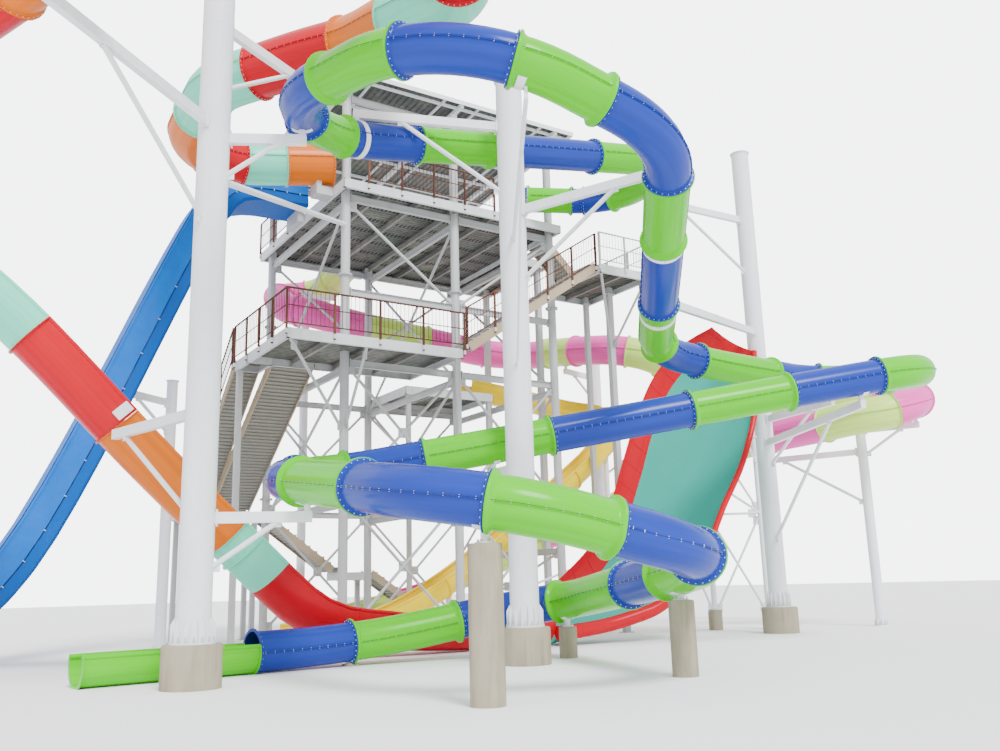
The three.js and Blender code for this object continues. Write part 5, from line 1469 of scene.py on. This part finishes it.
def dress_stairs():
    right = Piece()
    flight(right, (2.2, 6.53, LOWER_DECK_Z), (7.3, 6.53, LANDING_Z), 1.05)
    right.build("right_stair_steel", ["right_stair"])
    top = Piece()
    flight(top, (8.5, 8.6, LANDING_Z), (6.75, 8.6, UPPER_DECK_Z), 0.9)
    top.build("upper_stair_steel", ["upper_stair"])
    left = Piece()
    flight(left, (-1.69, 15.3, MID_Z), (-1.69, 9.3, LOWER_DECK_Z), 1.32)
    flight(left, (-2.724, 15.3, MID_Z), (-2.724, 10.4, LOWER_DECK_Z), 0.75)
    left.build("left_upper_stair_steel", ["left_upper_stair"])
    low = Piece()
    flight(low, (7.0, 15.9, 0), (3.7, 15.9, REST_Z), 1.0)
    flight(low, (2.4, 15.9, REST_Z), (-0.5, 15.9, MID_Z), 1.0)
    deck_plate(low, (2.4, 15.35), (3.7, 16.45), REST_Z)
    deck_post(low, 2.55, 15.5, REST_Z - DECK_PLATE)
    deck_post(low, 3.55, 16.3, REST_Z - DECK_PLATE)
    low.build("left_lower_stair_steel", ["left_lower_stair"])


BALUSTER_GAP = 0.125
BALUSTER_RADIUS = 0.008
LOW_RAIL = 0.13
RAILS = ((RAIL_HEIGHT - 0.026, 0.026), (0.6, 0.014), (LOW_RAIL, 0.018))
RAIL_POST_HALF = 0.027
CLAMP_HALF = 0.029


def railing(node, path, finish="rust", spacing=1.25):
    """Posts bolted outside the edge beam, three rails and thin balusters."""
    piece = Piece()
    for number, (start, end) in enumerate(zip(path[:-1], path[1:])):
        start = np.array(start, float)
        end = np.array(end, float)
        span = np.linalg.norm(end - start)
        count = max(1, round(span / spacing))
        for step in range(0 if number == 0 else 1, count + 1):
            at = start + (end - start) * step / count
            square(piece, *at[:2], RAIL_POST_HALF, at[2] - 0.2, at[2] + RAIL_HEIGHT - 0.02, finish)
            square(piece, *at[:2], CLAMP_HALF, at[2] - 0.17, at[2] - 0.05, "fascia")
        for height, radius in RAILS:
            pipe(piece, start + (0, 0, height), end + (0, 0, height), radius, finish, 10)
        bars = round(span / BALUSTER_GAP)
        for index in range(bars):
            at = start + (end - start) * (index + 0.5) / bars
            top = at + (0, 0, RAIL_HEIGHT - 0.03)
            pipe(piece, at + (0, 0, LOW_RAIL), top, BALUSTER_RADIUS, finish, 5)
    piece.build(f"{node}_bars", [node])


def dress_rails():
    lower, upper, landing = LOWER_DECK_Z, UPPER_DECK_Z, LANDING_Z
    railing("lower_rail", [(-3.13, 10.36, lower), (-3.13, 5.97, lower), (2.23, 5.97, lower)])
    railing("stair_rail", [(2.32, 5.975, 8.49), (7.27, 5.975, landing)])
    railing("landing_rail", [(7.27, 5.77, landing), (9.43, 5.77, landing), (9.43, 9.13, landing)], "tower")
    railing("upper_front_rail", [(-0.3, 7.07, upper), (4.1, 7.07, upper)])
    railing("upper_left_rail", [(-1.11, 11.7, upper), (-1.11, 14.4, upper)])
    railing("left_stair_rail", [(-3.13, 15.2, 4.49), (-3.13, 10.55, lower)], "rust", 1.4)


ROOF_LOW = (-1.3, 6.9)
ROOF_HIGH = (7.3, 14.7)
ROOF_FRONT = 16.75
ROOF_BACK = 16.33


def roof_z(y):
    return ROOF_FRONT + (ROOF_BACK - ROOF_FRONT) * (y - ROOF_LOW[1]) / (ROOF_HIGH[1] - ROOF_LOW[1])


def roof_slab(piece, low_x, high_x, low_y, high_y, lift, depth, finish):
    points = []
    for x in (low_x, high_x):
        for y, rise in ((low_y, 0), (high_y, 0), (high_y, depth), (low_y, depth)):
            points.append((x, y, roof_z(y) + lift + rise))
    piece.add(points, SLAB_FACES, finish)


ROOF_SHEET = 0.012
ROOF_RIB_PITCH = 0.2
# In each rib pair the lower rib takes the dark underside finish: painted shade under the roof.
ROOF_RIBS = ((0, 0.06, 0.032, "roof"), (0.07, 0.18, -0.018, "soffit"))
RAFTERS = ((0, 0.06, -0.16, 0.14), (-0.62, 0.03, -0.09, 0.07), (0.62, 0.03, -0.09, 0.07))
PURLINS = 6
PURLIN_GAP = 1.42
TRIM = 0.016
TRIM_DEPTH = 0.145


def dress_roof():
    """A ribbed sheet on purlins and rafters, with a white trim round its edge."""
    piece = Piece()
    low_x, low_y = ROOF_LOW
    high_x, high_y = ROOF_HIGH
    # The roof sheet's top is light and its underside dark: painted shade.
    for lift, finish in ((0.02, "roof"), (0.004, "soffit")):
        roof_slab(piece, low_x + 0.02, high_x - 0.02, low_y + 0.02, high_y - 0.02, lift, ROOF_SHEET, finish)
    for index in range(int((high_x - low_x - 0.1) / ROOF_RIB_PITCH)):
        x = low_x + 0.06 + ROOF_RIB_PITCH * index
        for left, right, lift, finish in ROOF_RIBS:
            roof_slab(piece, x + left, x + right, low_y + 0.03, high_y - 0.03, lift, 0.022, finish)
    for x in COLUMN_X:
        for away, half, lift, depth in RAFTERS:
            side = (x + away - half, x + away + half)
            roof_slab(piece, *side, low_y + 0.06, high_y - 0.06, lift, depth, "white")
    for index in range(PURLINS):
        y = low_y + 0.3 + index * PURLIN_GAP
        roof_slab(piece, low_x + 0.06, high_x - 0.06, y, y + 0.07, -0.09, 0.08, "white")
    for edge in ((low_x, high_x, low_y, low_y + TRIM), (low_x, high_x, high_y - TRIM, high_y),
                 (low_x, low_x + TRIM, low_y, high_y), (high_x - TRIM, high_x, low_y, high_y)):
        roof_slab(piece, *edge, -0.09, TRIM_DEPTH, "white")
    for x in COLUMN_X:
        for y, base in ((FRONT_ROW, FRAME_TOP), (BACK_ROW, BACK_TOP)):
            square(piece, x, y, 0.11, base + 0.001, base + 0.32, "white")
    piece.build("roof_sheet", ["roof"])


COVER_EDGE = -0.14
COVER_CORNER = 0.09
LACE_PITCH = 0.42
HEM_RADIUS = 0.012
CORD_RADIUS = 0.014
CORNER_POINT = 11
TROUGH_OUTLINE = [(-0.79, 0.3), (-0.79, -0.42), (-0.71, -0.5), (0.71, -0.5), (0.79, -0.42), (0.79, 0.3)]
END_WALL = [(-0.78, -0.49), (0.78, -0.49), (0.78, 0.46), (-0.78, 0.46)]


def cover_section(length):
    """The cover across the chute: two sides, two rounded corners and a top with soft creases."""
    wide, high = CHUTE_HALF
    turn = arc(COVER_CORNER, 0, 90, 7)
    side = [(wide - 0.02, up) for up in np.linspace(COVER_EDGE, high - COVER_CORNER, 8)]
    side += [(wide - COVER_CORNER + x, high - COVER_CORNER + y) for x, y in turn[1:]]
    top = [(across, high) for across in np.linspace(wide - COVER_CORNER, 0, 10)[1:]]
    half = np.array(side + top)
    section = np.concatenate([half, (half * (-1, 1))[-2::-1]])
    place = np.linspace(0, 1, len(section))
    crease = np.sin(length * 4.1 + place * 9) * np.sin(length * 1.3 - place * 14) * 0.5 + 0.5
    return section * (1.0 - 0.012 * crease[:, None])


def dress_speed_slide():
    """The straight chute: a trough below, a laced cloth cover above, and a wall at its start."""
    lengths = np.arange(0, chute.length, 0.14)
    stations = [chute.stations(length, min(length + 0.1, chute.length)) for length in lengths]
    centres = np.array([station[0][0] for station in stations])
    sides = np.array([station[1][0] for station in stations])
    ups = np.array([station[2][0] for station in stations])
    cover = Piece()
    sections = np.array([cover_section(length) for length in lengths])
    rows = centres[:, None] + sides[:, None] * sections[:, :, :1] + ups[:, None] * sections[:, :, 1:]
    across_count = rows.shape[1]
    runs = np.zeros_like(rows)
    runs[:, :, 0] = np.linspace(0, 3.4, across_count)[None, :]
    runs[:, :, 1] = lengths[:, None]
    cover.add(rows, grid_faces(len(rows), across_count, False), "tarp", runs)
    tarp = cover.build("speed_slide_cover")
    trough = Piece()
    inner = [(x * 0.96, y + (0.03 if y < 0 else 0)) for x, y in reversed(TROUGH_OUTLINE)]
    # The trough and its end wall are the darker azure: painted shade below the cover.
    sweep(trough, centres, sides, ups, TROUGH_OUTLINE + inner, "under_tarp")
    lid = np.array([centres[0], centres[0] + np.cross(sides[0], ups[0]) * 0.02])
    sweep(trough, lid, sides[:2], ups[:2], END_WALL, "under_tarp")
    for point, radius in ((0, HEM_RADIUS), (CORNER_POINT, CORD_RADIUS)):
        for edge in (point, across_count - 1 - point):
            sweep(trough, rows[:, edge], sides, ups, arc(radius, 0, 360, 7)[:-1], "rope")
    for length in np.arange(LACE_PITCH, chute.length, LACE_PITCH):
        index = np.searchsorted(lengths, length) - 1
        for edge, hand in ((0, 1), (across_count - 1, -1)):
            at = rows[index, edge] + sides[index] * hand * 0.012
            pipe(trough, at - ups[index] * 0.035, at + ups[index] * 0.03, 0.012, "bolt", 5)
    trough.build("speed_slide_trough", ["speed_slide"])


# Each pier's place along the body slide, its radius and the height of its bracket.
PIERS = (
    ("pier_left", 10.06, 0.25, 0.2), ("pier_right", 11.23, 0.225, 0.09),
    ("low_footing_right", 11.9, 0.2, 0.16), ("low_footing_left", 13.0, 0.2, 0.06),
)


def dress_piers():
    """Round concrete posts under the slide, each with a steel bracket and saddle on its head."""
    for node, place, radius, bracket in PIERS:
        piece = Piece()
        x, y, z = coil.spot(place)
        under = z - COIL_RADIUS
        top = max(under - bracket, under * 0.4)
        pedestal(piece, x, y, radius, top, 40)
        pipe(piece, (x, y, top), (x, y, under), 0.06, "white", 14)
        disc(piece, x, y, top, 0.14, 0.02, "white", 20)
        for turn in range(4):
            angle = turn * math.pi / 2 + 0.5
            at = np.array([x + 0.11 * math.cos(angle), y + 0.11 * math.sin(angle), top + 0.02])
            bolt(piece, at, (0, 0, 1), 0.016, 0.04)
        saddle(piece, coil, place, COIL_RADIUS, False)
        piece.build(f"{node}_post", [node])


def dress_trestle():
    """Two braced posts under the flume."""
    piece = Piece()
    heads = [flume.spot(place) for place in (2.6, 4.3)]
    for x, y, z in heads:
        pipe(piece, (x, y, 0.025), (x, y, z - FLUME_RADIUS), 0.09, "white", 20)
        disc(piece, x, y, 0, 0.18, 0.025, "white")
    for low, high in ((0.5, 0.5), (2.6, 0.6)):
        brace(piece, (*heads[0][:2], low), (*heads[1][:2], high), 0.04, "white")
    piece.build("flume_trestle_steel", ["flume_trestle"])


long_frame("front_frame", FRONT_ROW, FRAME_TOP)
long_frame("back_frame", BACK_ROW, BACK_TOP)
LOW_BEAM, MIDDLE_BEAM, HIGH_BEAM = SIDE_LEVELS
side_frame("left_bracing", COLUMN_X[0], SIDE_LEVELS, [(LOW_BEAM, MIDDLE_BEAM)], [(HIGH_BEAM, MIDDLE_BEAM)])
side_frame("middle_bracing", COLUMN_X[1], SIDE_LEVELS,
           [(LOW_BEAM, MIDDLE_BEAM), (MIDDLE_BEAM, HIGH_BEAM)], [])
side_frame("right_bracing", COLUMN_X[2], (FLUME_BEAM, MIDDLE_BEAM, HIGH_BEAM), [(0.5, FLUME_BEAM)],
           [(MIDDLE_BEAM, FLUME_BEAM), (MIDDLE_BEAM, HIGH_BEAM)])
dress_decks()
dress_stairs()
dress_rails()
dress_roof()
dress_speed_slide()
dress_piers()
dress_trestle()

# Stage, light and camera.
CAMERA_PLACE = np.array([-11.3, -16.7, 1.62])
CAMERA_TURN = math.radians(33)
CAMERA_PITCH = math.radians(12.535)
CAMERA_ROLL = math.radians(1.57)
CAMERA_LENS = 33.84
SKY_LIGHT = 1.7
SKY_SEEN = 6.0
KEY_LIGHT = 4.4
KEY_SPREAD = 18
KEY_TURN = (38, -22, 20)


def place_camera():
    """The camera that was solved from the photograph."""
    level = math.cos(CAMERA_PITCH)
    ahead = np.array([math.sin(CAMERA_TURN) * level, math.cos(CAMERA_TURN) * level, math.sin(CAMERA_PITCH)])
    right = np.array([math.cos(CAMERA_TURN), -math.sin(CAMERA_TURN), 0.0])
    up = np.cross(right, ahead)
    rolled_right = right * math.cos(CAMERA_ROLL) - up * math.sin(CAMERA_ROLL)
    rolled_up = up * math.cos(CAMERA_ROLL) + right * math.sin(CAMERA_ROLL)
    data = bpy.data.cameras.new("photo_camera")
    data.lens = CAMERA_LENS
    data.sensor_width = 36.0
    data.clip_end = 500.0
    camera = bpy.data.objects.new("photo_camera", data)
    turn = Matrix((rolled_right, rolled_up, -ahead)).transposed()
    camera.matrix_world = Matrix.Translation(CAMERA_PLACE) @ turn.to_4x4()
    bpy.context.scene.collection.objects.link(camera)
    bpy.context.scene.camera = camera


def add_floor():
    mesh = bpy.data.meshes.new("floor")
    reach = 160.0
    mesh.from_pydata([(-reach, -reach, 0), (reach, -reach, 0), (reach, reach, 0), (-reach, reach, 0)], [],
                     [(0, 1, 2, 3)])
    material, _, shader = start_material("pale_floor", 0.8)
    shader.inputs["Base Color"].default_value = (0.95, 0.95, 0.96, 1.0)
    mesh.materials.append(material)
    floor = bpy.data.objects.new("floor", mesh)
    bpy.context.scene.collection.objects.link(floor)


def add_light():
    """Even sky light and a wide key lamp; the camera sees the sky as plain white."""
    world = bpy.data.worlds.new("soft_studio")
    world.use_nodes = True
    tree = world.node_tree
    background = tree.nodes["Background"]
    background.inputs["Color"].default_value = (0.95, 0.97, 1.0, 1.0)
    path = add_node(tree, "ShaderNodeLightPath")
    strength = ranged(tree, path.outputs["Is Camera Ray"], 0.0, 1.0, SKY_LIGHT, SKY_SEEN)
    tree.links.new(strength, background.inputs["Strength"])
    bpy.context.scene.world = world
    data = bpy.data.lights.new("key", "SUN")
    data.energy = KEY_LIGHT
    data.angle = math.radians(KEY_SPREAD)
    lamp = bpy.data.objects.new("key", data)
    lamp.rotation_euler = [math.radians(angle) for angle in KEY_TURN]
    bpy.context.scene.collection.objects.link(lamp)


place_camera()
add_floor()
add_light()
